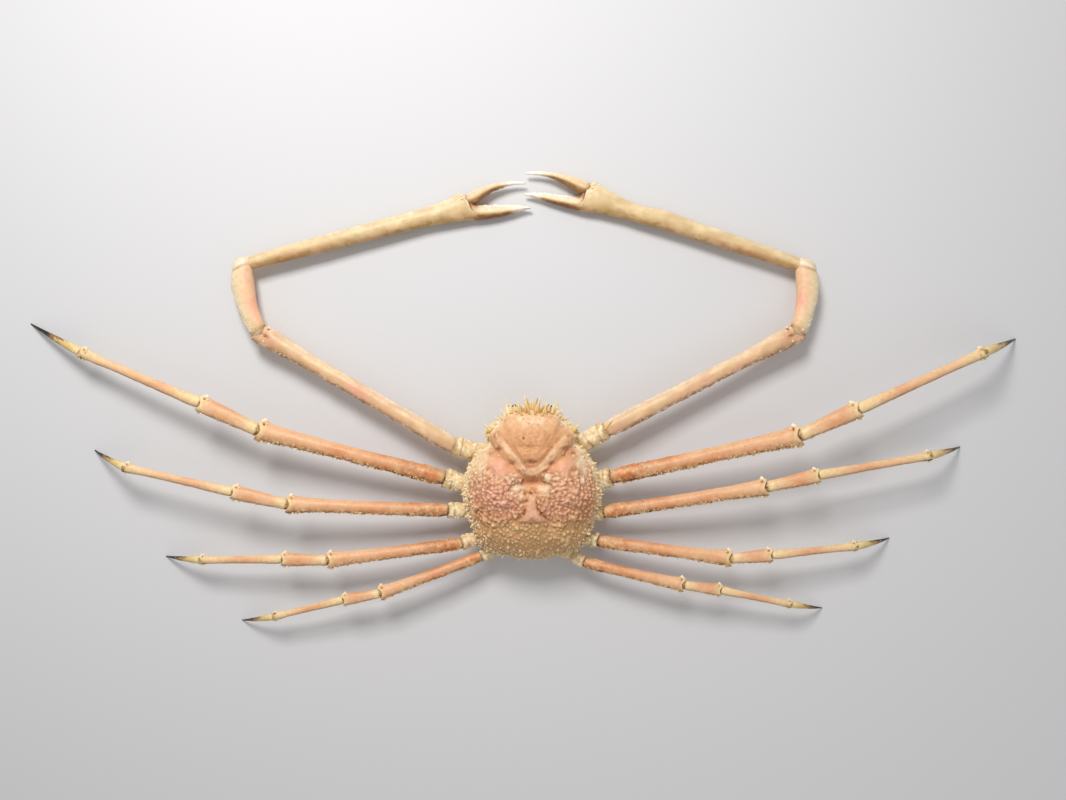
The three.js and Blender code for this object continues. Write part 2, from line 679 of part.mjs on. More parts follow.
// Head: eyes on short stalks, antennae and the plates that close the mouth
for (const [label, side] of [['left', -1], ['right', 1]]) {
  const mirrored = ([x, y, z]) => new THREE.Vector3(side * x, y, z);
  const ball = new THREE.SphereGeometry(eye.radius, 10, 7);
  ball.translate(...mirrored(eye.at).toArray());
  const stalk = limbPiece({
    from: mirrored(eye.root), to: mirrored(eye.at), width: 2 * eye.stalk, profile: profiles.stalk, depth: 1,
  });
  const eyeSolid = toSolid(ball).add(toSolid(stalk)).subtract(bodyKeepOut);
  hang(crab, `eye_${label}`, eyeSolid, mirrored(eye.at), paint(shellPaint.eye, 0.25));

  const feeler = toSolid(limbPiece({
    from: mirrored(antenna.root), to: mirrored(antenna.at), width: antenna.width,
    profile: profiles.feeler, depth: 1,
  })).subtract(bodyKeepOut);
  hang(crab, `antenna_${label}`, feeler, mirrored(antenna.root), paint(shellPaint.feeler));

  const plate = toSolid(limbPiece({
    from: mirrored(mouthplate.root), to: mirrored(mouthplate.at), width: mouthplate.width,
    profile: profiles.plate, depth: mouthplate.thickness,
  })).subtract(bodyKeepOut);
  hang(crab, `mouthplate_${label}`, plate, mirrored(mouthplate.root), paint(shellPaint.underside));
}

// Narrow tail flap folded under the body, its joints as waists. The crab rests on it.
const flapProfile = [[0, 0, 0.5]];
for (let i = 0; i < flap.somites; i++) {
  const start = i / flap.somites;
  flapProfile.push([start + 0.02, 0, 0.92], [start + 0.09, 0, 1]);
}
flapProfile.push([1, 0, 0.7]);
const flapSolid = toSolid(limbPiece({
  from: vec(flap.rear), to: vec(flap.front), width: flap.width, profile: flapProfile, depth: flap.thickness,
  sides: 10, taper: flap.taper,
})).subtract(floor).subtract(beyond(new THREE.Vector3(0, 0, bellyHeight - gap), up));
hang(crab, 'tail_flap', flapSolid, middle, paint(shellPaint.underside));

export default crab;
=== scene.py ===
import math
from functools import partial
import bpy
import numpy as np
from mathutils.kdtree import KDTree
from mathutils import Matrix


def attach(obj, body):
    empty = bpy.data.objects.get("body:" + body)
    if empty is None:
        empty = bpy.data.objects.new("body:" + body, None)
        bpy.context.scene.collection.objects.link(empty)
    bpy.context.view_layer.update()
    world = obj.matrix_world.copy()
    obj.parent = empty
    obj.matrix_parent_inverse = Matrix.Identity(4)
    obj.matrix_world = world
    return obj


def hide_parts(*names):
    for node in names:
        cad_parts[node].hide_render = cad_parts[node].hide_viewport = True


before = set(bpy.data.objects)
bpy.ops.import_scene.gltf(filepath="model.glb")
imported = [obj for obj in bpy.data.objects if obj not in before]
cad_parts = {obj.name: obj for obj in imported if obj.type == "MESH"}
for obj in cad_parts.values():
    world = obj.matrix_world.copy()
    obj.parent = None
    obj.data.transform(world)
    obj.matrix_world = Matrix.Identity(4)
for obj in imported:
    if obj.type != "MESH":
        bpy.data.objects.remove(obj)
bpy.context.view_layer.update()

# Lengths below are millimetres, x to the crab's right, y to its rostrum, z up
mm = 0.001
gap = 0.3                # clear space between neighbouring pieces
fullTurn = 2 * math.pi

# Helpers for numbers and meshes


def unit(v):
    v = np.asarray(v, float)
    return v / max(np.linalg.norm(v), 1e-9)


def ease(x, low=0.0, high=1.0):
    x = np.clip((np.asarray(x, float) - low) / (high - low), 0, 1)
    return x * x * (3 - 2 * x)


def bell(x, width):
    return np.exp(-(np.asarray(x, float) / width) ** 2)


def colour(code):
    parts = [int(code[i:i + 2], 16) / 255 for i in (1, 3, 5)]
    return [p / 12.92 if p <= 0.04045 else ((p + 0.055) / 1.055) ** 2.4 for p in parts] + [1.0]


latticeCells = 48
lattice = np.random.default_rng(11).random((latticeCells, latticeCells, latticeCells))
skew = np.array([[0.36, 0.48, -0.8], [-0.8, 0.6, 0.0], [0.48, 0.64, 0.6]])


def fieldNoise(points, size, shift=0.0):
    coarse = latticeNoise(points @ skew / size + shift)
    return 0.7 * coarse + 0.3 * latticeNoise(points @ skew.T / (0.45 * size) + shift)


def latticeNoise(scaled):
    cell = np.floor(scaled).astype(int)
    part = scaled - cell
    part = part * part * (3 - 2 * part)
    total = np.zeros(len(scaled))
    for corner in np.ndindex(2, 2, 2):
        weight = np.ones(len(scaled))
        for axis in range(3):
            weight *= part[:, axis] if corner[axis] else 1 - part[:, axis]
        spot = [(cell[:, axis] + corner[axis]) % latticeCells for axis in range(3)]
        total += weight * lattice[spot[0], spot[1], spot[2]]
    return total


def planNoise(x, y, size, shift=0.0):
    return fieldNoise(np.stack([x, y, 0 * x], -1), size, shift)


def addObject(name, data):
    made = bpy.data.objects.new(name, data)
    bpy.context.scene.collection.objects.link(made)
    return made


def newMaterial(name):
    material = bpy.data.materials.new(name)
    material.use_nodes = True
    return material, material.node_tree, material.node_tree.nodes["Principled BSDF"]


def fill(made, values):
    # sets the unlinked inputs of a node
    for key, value in values.items():
        made.inputs[key].default_value = value


def piece(name, points, faces, material, masks=None):
    mesh = bpy.data.meshes.new(name)
    mesh.from_pydata((np.asarray(points) * mm).tolist(), [], faces)
    mesh.polygons.foreach_set("use_smooth", [True] * len(mesh.polygons))
    if masks is not None:
        layer = mesh.color_attributes.new("masks", "FLOAT_COLOR", "POINT")
        masks = np.clip(masks, 0, 1)
        filled = np.zeros((len(points), 4), np.float32)
        filled[:, :masks.shape[1]] = masks
        layer.data.foreach_set("color", filled.ravel())
    mesh.materials.append(material)
    mesh.update()
    return addObject(name, mesh)


def hand(made, slot, *nodes):
    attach(made, "root")
    if nodes:
        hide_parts(*nodes)
    return made


def ringFaces(rings, sides, offset=0):
    # quads between rings of equal count, wound so that they face out
    faces = []
    for r in range(rings - 1):
        low = offset + r * sides
        for i in range(sides):
            j = (i + 1) % sides
            faces.append((low + i, low + j, low + sides + j, low + sides + i))
    return faces


def capFaces(last, low, high, sides):
    # triangles from the first ring to the low pole and from the last ring to the high pole
    first = [(i, low, (i + 1) % sides) for i in range(sides)]
    return first + [(last + i, last + (i + 1) % sides, high) for i in range(sides)]


# Camera, light and floor

cameraSpec = {
    "place": (0.002, 0.172, 1.820),     # straight above the spot at the photo's centre
    "focalPixels": 853.7, "photoWidth": 1066, "sensor": 36.0,
}


def makeCamera():
    data = bpy.data.cameras.new("camera")
    data.sensor_width = cameraSpec["sensor"]
    data.lens = cameraSpec["sensor"] * cameraSpec["focalPixels"] / cameraSpec["photoWidth"]
    data.clip_end = 20
    made = addObject("camera", data)
    made.location = cameraSpec["place"]
    bpy.context.scene.camera = made


lightSpec = [
    # name, place, size, watts
    ("keyLight", (-0.6, 1.9, 2.2), 0.9, 66), ("fillLight", (1.0, -1.3, 2.3), 2.4, 9),
]
lightAim = (0, 0.15, 0)
skySpec = {"Color": "#EEF0F4", "Strength": 0.46}
floorSpec = {"reach": 12, "colour": "#D6D4D3", "roughness": 0.8}


def makeLights():
    for name, place, size, watts in lightSpec:
        data = bpy.data.lights.new(name, "AREA")
        data.size = size
        data.energy = watts
        made = addObject(name, data)
        made.location = place
        aim = np.array(lightAim) - np.array(place)
        tilt, turn = math.atan2(math.hypot(aim[0], aim[1]), -aim[2]), math.atan2(aim[0], -aim[1])
        made.rotation_euler = (tilt, 0, turn + math.pi)
    world = bpy.data.worlds.new("studio")
    world.use_nodes = True
    fill(world.node_tree.nodes["Background"], {**skySpec, "Color": colour(skySpec["Color"])})
    bpy.context.scene.world = world
    bpy.context.scene.view_settings.view_transform = "Standard"


def makeFloor():
    mesh = bpy.data.meshes.new("floor")
    far = floorSpec["reach"]
    mesh.from_pydata([(-far, -far, 0), (far, -far, 0), (far, far, 0), (-far, far, 0)], [], [(0, 1, 2, 3)])
    material, _, shader = newMaterial("paleFloor")
    fill(shader, {"Base Color": colour(floorSpec["colour"]), "Roughness": floorSpec["roughness"]})
    mesh.materials.append(material)
    addObject("floor", mesh)


makeCamera()
makeLights()
makeFloor()
print("camera, light and floor made")

# Finishes


def node(tree, kind, **settings):
    made = tree.nodes.new(kind)
    for key, value in settings.items():
        setattr(made, key, value)
    return made


def socket(tree, name, way, kind):
    tree.interface.new_socket(name=name, in_out=way, socket_type=kind)


def mathNode(tree, operation, a, b=None, clamp=False):
    made = node(tree, "ShaderNodeMath", operation=operation, use_clamp=clamp)
    for slotIndex, value in enumerate((a, b)):
        if value is None:
            continue
        if isinstance(value, (int, float)):
            made.inputs[slotIndex].default_value = value
        else:
            tree.links.new(value, made.inputs[slotIndex])
    return made.outputs[0]


def mixColour(tree, factor, a, b, blend="MIX"):
    made = node(tree, "ShaderNodeMix", data_type="RGBA", blend_type=blend)
    for slotIndex, value in ((0, factor), (6, a), (7, b)):
        if isinstance(value, (int, float, list)):
            made.inputs[slotIndex].default_value = value
        else:
            tree.links.new(value, made.inputs[slotIndex])
    return made.outputs[2]


def spread(tree, value, low, high, toLow, toHigh):
    made = node(tree, "ShaderNodeMapRange")
    tree.links.new(value, made.inputs[0])
    for slotIndex, number in enumerate((low, high, toLow, toHigh), 1):
        made.inputs[slotIndex].default_value = number
    return made.outputs[0]


def noiseNode(tree, vector, scale, detail=3.0):
    made = node(tree, "ShaderNodeTexNoise")
    tree.links.new(vector, made.inputs["Vector"])
    made.inputs["Detail"].default_value = detail
    if isinstance(scale, (int, float)):
        made.inputs["Scale"].default_value = scale
    else:
        tree.links.new(scale, made.inputs["Scale"])
    return made.outputs[0]


finishInputs = ("Main", "Blush", "Olive", "Pale", "Dark", "Deep", "Cloud Scale", "Speckle Scale", "Speckle",
                "Fleck Scale", "Fleck", "Gloss")


def shellTintGroup():
    # dry crab shell: five colours laid by the masks, clouded, speckled and pored
    tree = bpy.data.node_groups.new("shellTint", "ShaderNodeTree")
    for name in (*finishInputs[:6], "Masks"):
        socket(tree, name, "INPUT", "NodeSocketColor")
    for name in ("Olive Mask", *finishInputs[6:]):
        socket(tree, name, "INPUT", "NodeSocketFloat")
    for name, kind in (("Color", "NodeSocketColor"), ("Roughness", "NodeSocketFloat"),
                       ("Height", "NodeSocketFloat")):
        socket(tree, name, "OUTPUT", kind)
    times, scaled, mixed = (partial(f, tree, *more) for f, *more in (
        (mathNode, "MULTIPLY"), (spread,), (mixColour,)))
    given = node(tree, "NodeGroupInput").outputs
    place = node(tree, "ShaderNodeTexCoord").outputs["Object"]
    split = node(tree, "ShaderNodeSeparateColor")
    tree.links.new(given["Masks"], split.inputs[0])
    pale, dark, blush = split.outputs[0], split.outputs[1], split.outputs[2]
    cloud = noiseNode(tree, place, given["Cloud Scale"], 4.0)
    mottle = noiseNode(tree, place, times(given["Cloud Scale"], 5.3), 4.0)
    grain = noiseNode(tree, place, given["Speckle Scale"], 2.0)
    blushed = times(blush, scaled(cloud, 0.3, 0.7, 0.55, 1.3), clamp=True)
    paled = times(pale, scaled(mottle, 0.3, 0.7, 0.7, 1.2), clamp=True)
    flecks = noiseNode(tree, place, given["Fleck Scale"], 3.0)
    crowd = mathNode(tree, "ADD", flecks, times(dark, 0.55))
    blot = times(scaled(crowd, 0.66, 0.76, 0.0, 0.34), given["Fleck"])
    shaded = times(dark, scaled(mottle, 0.3, 0.7, 0.7, 1.15))
    darkened = mathNode(tree, "ADD", shaded, blot)
    olived = times(given["Olive Mask"], scaled(mottle, 0.3, 0.7, 0.7, 1.2), clamp=True)
    base = mixed(blushed, given["Main"], given["Blush"])
    base = mixed(olived, base, given["Olive"])
    base = mixed(paled, base, given["Pale"])
    base = mixed(times(darkened, 2.0, clamp=True), base, given["Dark"])
    deep = mathNode(tree, "SUBTRACT", times(darkened, 2.0), 1.0, clamp=True)
    base = mixed(deep, base, given["Deep"])
    shade = node(tree, "ShaderNodeCombineColor")
    for slotIndex, (low, high) in enumerate(((0.93, 1.06), (0.88, 1.08), (0.84, 1.1))):
        tree.links.new(scaled(mottle, 0.25, 0.75, low, high), shade.inputs[slotIndex])
    base = mixed(1.0, base, shade.outputs[0], "MULTIPLY")
    pores = node(tree, "ShaderNodeTexVoronoi")
    tree.links.new(place, pores.inputs["Vector"])
    tree.links.new(given["Speckle Scale"], pores.inputs["Scale"])
    pore = scaled(pores.outputs["Distance"], 0.08, 0.26, 1.0, 0.0)
    kept = scaled(mottle, 0.5, 0.62, 0.0, 1.0)
    spot = times(times(pore, kept), given["Speckle"], clamp=True)
    base = mixed(spot, base, given["Dark"])
    out = node(tree, "NodeGroupOutput").inputs
    tree.links.new(base, out["Color"])
    rough = mathNode(tree, "ADD", given["Gloss"], scaled(grain, 0.3, 0.7, -0.07, 0.1))
    tree.links.new(rough, out["Roughness"])
    height = mathNode(tree, "ADD", times(mottle, 0.9), times(grain, 0.5))
    height = mathNode(tree, "SUBTRACT", height, times(pore, 0.35))
    height = mathNode(tree, "SUBTRACT", height, times(blot, 1.2))
    tree.links.new(height, out["Height"])
    return tree


shellTint = shellTintGroup()

finishes = {
    # the group's inputs in order, then how strong the bump is
    "backShell": ("#DEA370", "#EAA88D", "#DEB67C", "#FAE9C4", "#A0603A", "#4A2611",
        20.0, 330.0, 0.3, 260.0, 0.5, 0.52, 0.45),
    "bellyShell": ("#F2DAA6", "#EAB486", "#D9B468", "#FCEECB", "#A67A42", "#4E3519",
        26.0, 300.0, 0.25, 250.0, 0.35, 0.52, 0.45),
    "spineShell": ("#EECB74", "#E0A668", "#BF9A50", "#FBF0CB", "#9C7134", "#4E3519",
        40.0, 500.0, 0.1, 300.0, 0.2, 0.4, 0.2),
    "legShell": ("#EDC195", "#D68049", "#D2A458", "#F3DCA2", "#8E5626", "#3A2411",
        24.0, 300.0, 0.35, 270.0, 1.0, 0.45, 0.38),
    "toeShell": ("#E6C67E", "#C79A55", "#A68440", "#F2DFA8", "#85602C", "#1C1713",
        40.0, 420.0, 0.2, 300.0, 0.6, 0.36, 0.22),
    "clawShell": ("#E9CE9C", "#F0B292", "#BF9E60", "#FBF1E2", "#98683A", "#4B361C",
        22.0, 300.0, 0.12, 220.0, 0.25, 0.42, 0.28),
    "tipShell": ("#F4E8DC", "#EFC4B4", "#C9A878", "#FFFDFA", "#B8925E", "#4B361C",
        40.0, 400.0, 0.05, 300.0, 0.0, 0.3, 0.12),
}


def addBump(tree, shader, height, strength, distance):
    bump = node(tree, "ShaderNodeBump")
    fill(bump, {"Strength": strength, "Distance": distance})
    tree.links.new(height, bump.inputs["Height"])
    tree.links.new(bump.outputs["Normal"], shader.inputs["Normal"])


def shellMaterial(name, spec):
    material, tree, shader = newMaterial(name)
    masks = node(tree, "ShaderNodeAttribute", attribute_name="masks")
    tint = node(tree, "ShaderNodeGroup", node_tree=shellTint)
    tree.links.new(masks.outputs["Color"], tint.inputs["Masks"])
    tree.links.new(masks.outputs["Alpha"], tint.inputs["Olive Mask"])
    fill(tint, {key: colour(value) if isinstance(value, str) else value
                for key, value in zip(finishInputs, spec)})
    addBump(tree, shader, tint.outputs["Height"], spec[-1], 0.0012)
    tree.links.new(tint.outputs["Color"], shader.inputs["Base Color"])
    tree.links.new(tint.outputs["Roughness"], shader.inputs["Roughness"])
    fill(shader, {"Specular IOR Level": 0.42, "Subsurface Weight": 0.06,
                  "Subsurface Radius": (0.006, 0.003, 0.0015)})
    return material


shells = {name: shellMaterial(name, spec) for name, spec in finishes.items()}


def corneaMaterial():
    material, tree, shader = newMaterial("cornea")
    place = node(tree, "ShaderNodeTexCoord").outputs["Object"]
    cells = node(tree, "ShaderNodeTexVoronoi")
    tree.links.new(place, cells.inputs["Vector"])
    cells.inputs["Scale"].default_value = 1500
    cloud = noiseNode(tree, place, 260.0)
    tint = mixColour(tree, cloud, colour("#120C08"), colour("#4A2E1C"))
    tree.links.new(tint, shader.inputs["Base Color"])
    addBump(tree, shader, cells.outputs["Distance"], 0.2, 0.0003)
    fill(shader, {"Roughness": 0.18, "Coat Weight": 0.4})
    return material


cornea = corneaMaterial()
print("finishes made")

# Thorns, knobs and teeth: one small shape set on many roots by nodes


def thornTree():
    tree = bpy.data.node_groups.new("thornsOnRoots", "GeometryNodeTree")
    for name, kind in (("Roots", "Geometry"), ("Sides", "Int"), ("Bluntness", "Float"),
                       ("Size Spread", "Float"), ("Seed", "Int"), ("Finish", "Material")):
        socket(tree, name, "INPUT", "NodeSocket" + kind)
    socket(tree, "Thorns", "OUTPUT", "NodeSocketGeometry")
    given = node(tree, "NodeGroupInput").outputs
    link = tree.links.new
    cone = node(tree, "GeometryNodeMeshCone")
    link(given["Sides"], cone.inputs["Vertices"])
    fill(cone, {"Side Segments": 4, "Radius Top": 0.0, "Radius Bottom": 1.0, "Depth": 1.0})
    at = node(tree, "ShaderNodeSeparateXYZ")
    link(node(tree, "GeometryNodeInputPosition").outputs[0], at.inputs[0])
    full = mathNode(tree, "SUBTRACT", 1.0, mathNode(tree, "POWER", at.outputs[2], given["Bluntness"]))
    swell = mathNode(tree, "DIVIDE", mathNode(tree, "POWER", mathNode(tree, "MAXIMUM", full, 0.0), 0.85),
                     mathNode(tree, "SUBTRACT", 1.02, at.outputs[2]))
    shaped = node(tree, "ShaderNodeCombineXYZ")
    link(mathNode(tree, "MULTIPLY", at.outputs[0], swell), shaped.inputs[0])
    link(mathNode(tree, "MULTIPLY", at.outputs[1], swell), shaped.inputs[1])
    link(mathNode(tree, "SUBTRACT", mathNode(tree, "MULTIPLY", at.outputs[2], 1.25), 0.25),
         shaped.inputs[2])
    form = node(tree, "GeometryNodeSetPosition")
    link(cone.outputs["Mesh"], form.inputs["Geometry"])
    link(shaped.outputs[0], form.inputs["Position"])
    dots = node(tree, "GeometryNodeMeshToPoints")
    link(given["Roots"], dots.inputs[0])
    facing, girth = (
        node(tree, "GeometryNodeInputNamedAttribute", data_type="FLOAT_VECTOR") for _ in range(2))
    fill(facing, {"Name": "facing"})
    fill(girth, {"Name": "girth"})
    turn = node(tree, "FunctionNodeAlignRotationToVector", axis="Z")
    link(facing.outputs["Attribute"], turn.inputs["Vector"])
    chance = node(tree, "FunctionNodeRandomValue", data_type="FLOAT")
    link(mathNode(tree, "SUBTRACT", 1.0, given["Size Spread"]), chance.inputs[2])
    link(mathNode(tree, "ADD", 1.0, given["Size Spread"]), chance.inputs[3])
    link(given["Seed"], chance.inputs["Seed"])
    size = node(tree, "ShaderNodeVectorMath", operation="SCALE")
    link(girth.outputs["Attribute"], size.inputs[0])
    link(chance.outputs[1], size.inputs["Scale"])
    placed = node(tree, "GeometryNodeInstanceOnPoints")
    link(dots.outputs[0], placed.inputs["Points"])
    link(form.outputs["Geometry"], placed.inputs["Instance"])
    link(turn.outputs[0], placed.inputs["Rotation"])
    link(size.outputs[0], placed.inputs["Scale"])
    real = node(tree, "GeometryNodeRealizeInstances")
    link(placed.outputs[0], real.inputs[0])
    smooth = node(tree, "GeometryNodeSetShadeSmooth")
    link(real.outputs[0], smooth.inputs[0])
    paint = node(tree, "GeometryNodeSetMaterial")
    link(smooth.outputs[0], paint.inputs["Geometry"])
    link(given["Finish"], paint.inputs["Material"])
    link(paint.outputs[0], node(tree, "NodeGroupOutput").inputs[0])
    return tree


thorns = thornTree()


def setThorns(name, roots, material, slot, sides, bluntness, sizeSpread, seed):
    # roots: rows of place, facing, girth (radius, radius, length) and masks, all in millimetres
    places = np.array([r[0] for r in roots])
    mesh = bpy.data.meshes.new(name)
    mesh.from_pydata((places * mm).tolist(), [], [])
    for key, column, scale in (("facing", 1, 1.0), ("girth", 2, mm)):
        layer = mesh.attributes.new(key, "FLOAT_VECTOR", "POINT")
        layer.data.foreach_set("vector", (np.array([r[column] for r in roots], float) * scale).ravel())
    layer = mesh.attributes.new("masks", "FLOAT_COLOR", "POINT")
    tints = np.clip([(*r[3], 0.0)[:4] for r in roots], 0, 1)
    layer.data.foreach_set("color", tints.ravel())
    made = addObject(name, mesh)
    modifier = made.modifiers.new("thorns", "NODES")
    modifier.node_group = thorns
    inputs = {"Sides": sides, "Bluntness": bluntness, "Size Spread": sizeSpread, "Seed": seed,
              "Finish": material}
    for item in thorns.interface.items_tree:
        if item.in_out == "INPUT" and item.name in inputs:
            modifier[item.identifier] = inputs[item.name]
    made.update_tag()
    ready = made.evaluated_get(bpy.context.evaluated_depsgraph_get())
    solid = bpy.data.meshes.new_from_object(ready)
    made.modifiers.clear()
    made.data = solid
    solid.name = name
    return hand(made, slot)


# Body: outline, dome and relief

bodySpec = {
    "crown": 146.0, "rimMiddle": 70.0, "rimSlope": 16.0, "parting": 44.0, "belly": 5.0,
    "roundness": 2.1, "fullness": 0.6, "cells": 250, "rimPull": 0.75,
    "flankRings": [(0.0, 1.0), (0.15, 0.996), (0.32, 0.99), (0.55, 0.975), (0.78, 0.955), (0.92, 0.94),
                   (1.0, 0.93)],
    "flankCount": 28,
}
halfOutline = [
    (0, 160), (40, 156), (57, 149), (64, 134), (88, 117), (92, 104), (89, 88), (108, 71),
    (131, 33), (141, -12), (140, -40), (122, -94), (116, -116), (100, -133), (51, -149),
]
rearMiddle = (0, -157)


def closedCurve(points, perSpan=24):
    points = np.array(points, float)
    count = len(points)
    t = np.linspace(0, 1, perSpan, endpoint=False)[:, None]
    spans = []
    for i in range(count):
        a, b, c, d = (points[(i + k) % count] for k in (-1, 0, 1, 2))
        before, span, after = (math.sqrt(np.linalg.norm(q - p)) for p, q in ((a, b), (b, c), (c, d)))
        leave = ((b - a) / before - (c - a) / (before + span) + (c - b) / span) * span
        arrive = ((c - b) / span - (d - b) / (span + after) + (d - c) / after) * span
        spans.append(
            (2 * t**3 - 3 * t**2 + 1) * b + (t**3 - 2 * t**2 + t) * leave
            + (3 * t**2 - 2 * t**3) * c + (t**3 - t**2) * arrive)
    return np.vstack(spans)


outline = closedCurve(halfOutline + [rearMiddle] + [(-x, y) for x, y in halfOutline[:0:-1]])
outlineBearing = np.arctan2(outline[:, 0], outline[:, 1]) % fullTurn
outlineReach = np.hypot(outline[:, 0], outline[:, 1])


def edgeRadius(bearing):
    return np.interp(bearing % fullTurn, outlineBearing, outlineReach, period=fullTurn)


def rimHeight(bearing):
    return bodySpec["rimMiddle"] + bodySpec["rimSlope"] * np.cos(bearing)


# Swellings and hollows: where, how wide, how high. Those off the middle repeat on the left.
regions = [
    ((0, 96), (62, 56), 17), ((74, 104), (20, 22), 7), ((78, 0), (50, 62), 20), ((0, 4), (32, 13), -12),
    ((0, -60), (26, 26), 7), ((38, 44), (14, 12), -9), ((40, -50), (12, 34), -7), ((44, -112), (32, 26), 6),
    # stomach dome: front lobes, side lobes, middle crease, cross folds and the end before the pit
    ((0, 128), (12, 18), 3.2), ((24, 106), (15, 17), 3.4), ((46, 112), (11, 16), 2.4),
    ((0, 102), (4, 20), -1.6),
    ((10, 86), (9, 6), 1.6), ((23, 79), (9, 6), -1.5), ((13, 66), (10, 8), 1.7), ((36, 92), (6, 16), -1.6),
    ((0, 74), (4, 9), -1.2), ((0, 50.5), (12, 5.0), -4.4), ((0, 42), (6, 4), -1.2),
    ((44, 140), (9, 7), 2.4), ((22, 142), (7, 8), 1.8),
    # shoulders beside the raised U, pits along its outside
    ((69, 42), (20, 15), 5.0), ((94, 62), (9, 20), 2.6), ((88, 40), (4, 22), -2.0),
    ((38, 47), (7, 5), -2.6),
    ((26, 31), (6, 4), -1.8), ((66, 75), (8, 5), -3.6), ((83, 66), (6, 5), -3.4), ((73, 101), (5, 5), -3.4),
    # hollow behind the U, its lumps, the slit and the plate over the heart
    ((0, 13), (24, 8), -4.0), ((30, -4), (8, 9), 4.2), ((17, -3), (6, 6), 2.4), ((38, 16), (12, 8), 4.0),
    ((0, -10), (9, 2.4), -4.2), ((26, -22), (9, 8), 3.0), ((0, -71), (28, 3.2), -2.6),
    # rear
    ((0, -96), (16, 16), 3.0), ((0, -124), (30, 16), 3.4), ((26, -92), (5, 20), -1.2),
    ((62, -84), (26, 8), -1.6),
    ((100, 8), (10, 10), -2.4), ((30, 148), (8, 6), -3.6), ((70, -40), (5, 40), -2.2),
    ((98, -30), (14, 18), 3.0),
]
# The raised U that holds the stomach dome, right half
ridgePath = np.array([
    (74, 101), (63, 90), (50, 76.5), (37, 60), (27, 46), (18, 37.5), (9, 31.5), (0, 29.5)], float)
ridge = {"height": 2.7, "flat": 2.8, "width": 11.5, "groove": 1.9, "grooveWidth": 3.2, "grooveOff": 10.6}
# The plate over the heart: how far behind the middle, half width
heartHalf = [(12, 7.0), (26, 7.0), (42, 8.5), (54, 14.0), (70, 27.0)]


def heartShape(x, y):
    # the plate over the heart: a narrow stem that widens to a broad foot, and the hollows beside it
    half = np.interp(-y, *zip(*heartHalf))
    foot = -y + 6 * bell(x, 6) - 2.5 * bell(np.abs(x) - 14, 6)
    within = (1 - ease(np.abs(x) / half, 0.7, 1.15)) * ease(-y, 14, 24) * (1 - ease(foot, 63, 71))
    beside = bell(np.abs(x) / half - 1.4, 0.24) * ease(-y, 18, 30) * (1 - ease(-y, 54, 68))
    return within, beside


def ridgeDistance(x, y):
    # distance to the U, and how far inside it the point lies
    p = np.stack([np.abs(x), y], -1)
    best = np.full(len(p), 1e9)
    side = np.zeros(len(p))
    for a, b in zip(ridgePath[:-1], ridgePath[1:]):
        way = b - a
        t = np.clip(((p - a) @ way) / (way @ way), 0, 1)
        away = p - (a + t[:, None] * way)
        far = np.hypot(away[:, 0], away[:, 1])
        closer = far < best
        best = np.where(closer, far, best)
        side = np.where(closer, -(way[0] * away[:, 1] - way[1] * away[:, 0]), side)
    return best, np.sign(side) * best


def regionSum(x, y, rows):
    total = np.zeros(len(x))
    for (cx, cy), (sx, sy), lift in rows:
        for way in ((1, -1) if cx else (1,)):
            total += lift * np.exp(-((x - way * cx) / sx) ** 2 - ((y - cy) / sy) ** 2)
    return total


def domeHeight(x, y):
    bearing = np.arctan2(x, y)
    share = np.clip(np.hypot(x, y) / edgeRadius(bearing), 0, 1)
    rim = rimHeight(bearing)
    height = rim + (bodySpec["crown"] - rim) * (1 - share ** bodySpec["roundness"]) ** bodySpec["fullness"]
    wobble = 5.0 * (planNoise(x, y, 13.0, 2.0) - 0.5)
    far, inside = ridgeDistance(x + wobble, y)
    held = 1 - ease(np.abs(x), 46, 76)
    uneven = 0.35 + 1.3 * planNoise(x, y, 8.0, 6.0)
    band = 1 - ease(far, ridge["flat"], ridge["width"])
    relief = regionSum(x, y, regions) + (0.15 + 0.85 * held) * uneven * ridge["height"] * band
    within, beside = heartShape(x, y)
    relief += 3.8 * within - 4.2 * beside
    relief -= (0.25 + 0.75 * held) * ridge["groove"] * bell(inside - ridge["grooveOff"],
        ridge["grooveWidth"])
    relief -= 0.4 * held * ridge["groove"] * bell(inside + ridge["grooveOff"], ridge["grooveWidth"])
    return height + (1 - share ** 6) * relief


def domeNormal(x, y):
    step = 0.8
    slopeX = (domeHeight(x + step, y) - domeHeight(x - step, y)) / (2 * step)
    slopeY = (domeHeight(x, y + step) - domeHeight(x, y - step)) / (2 * step)
    normal = np.stack([-slopeX, -slopeY, np.ones(len(x))], -1)
    return normal / np.linalg.norm(normal, axis=1)[:, None]


# Where knobs grow: how thick they stand, how big and how tall, and how much painted shade darkens the skin
# between them
knobZones = [
    # centre, half size, spacing, radius, height, painted shade between the knobs; the last row that holds a
    # spot counts
    ((0, 0), (400, 400), 9.0, 2.2, 2.2, 0.4),        # everywhere not named below
    ((76, -22), (80, 52), 6.6, 3.0, 4.2, 1.0),       # gill swellings
    ((0, -118), (136, 48), 7.4, 2.3, 2.9, 0.62),     # rear
    ((0, 100), (70, 64), 26.0, 1.2, 0.9, 0.0),       # stomach dome
    ((68, 42), (28, 20), 15.0, 1.6, 1.2, 0.1),       # smooth shoulders beside the U
    ((100, 62), (16, 24), 12.0, 1.6, 1.6, 0.1),
    ((27, -1), (15, 14), 11.0, 1.6, 1.6, 0.1),       # pale lumps behind the hollow
    ((0, 8), (26, 15), 13.0, 1.3, 1.0, 0.1),         # the hollow itself
    ((84, 104), (17, 24), 7.0, 1.9, 2.4, 0.4),       # liver swellings
]
knobSpec = {"seed": 5, "tries": 34000, "edgeShare": 0.985, "bigShare": 0.07, "bigSize": 1.5, "warp": 34.0,
            "smooth": 0.1}


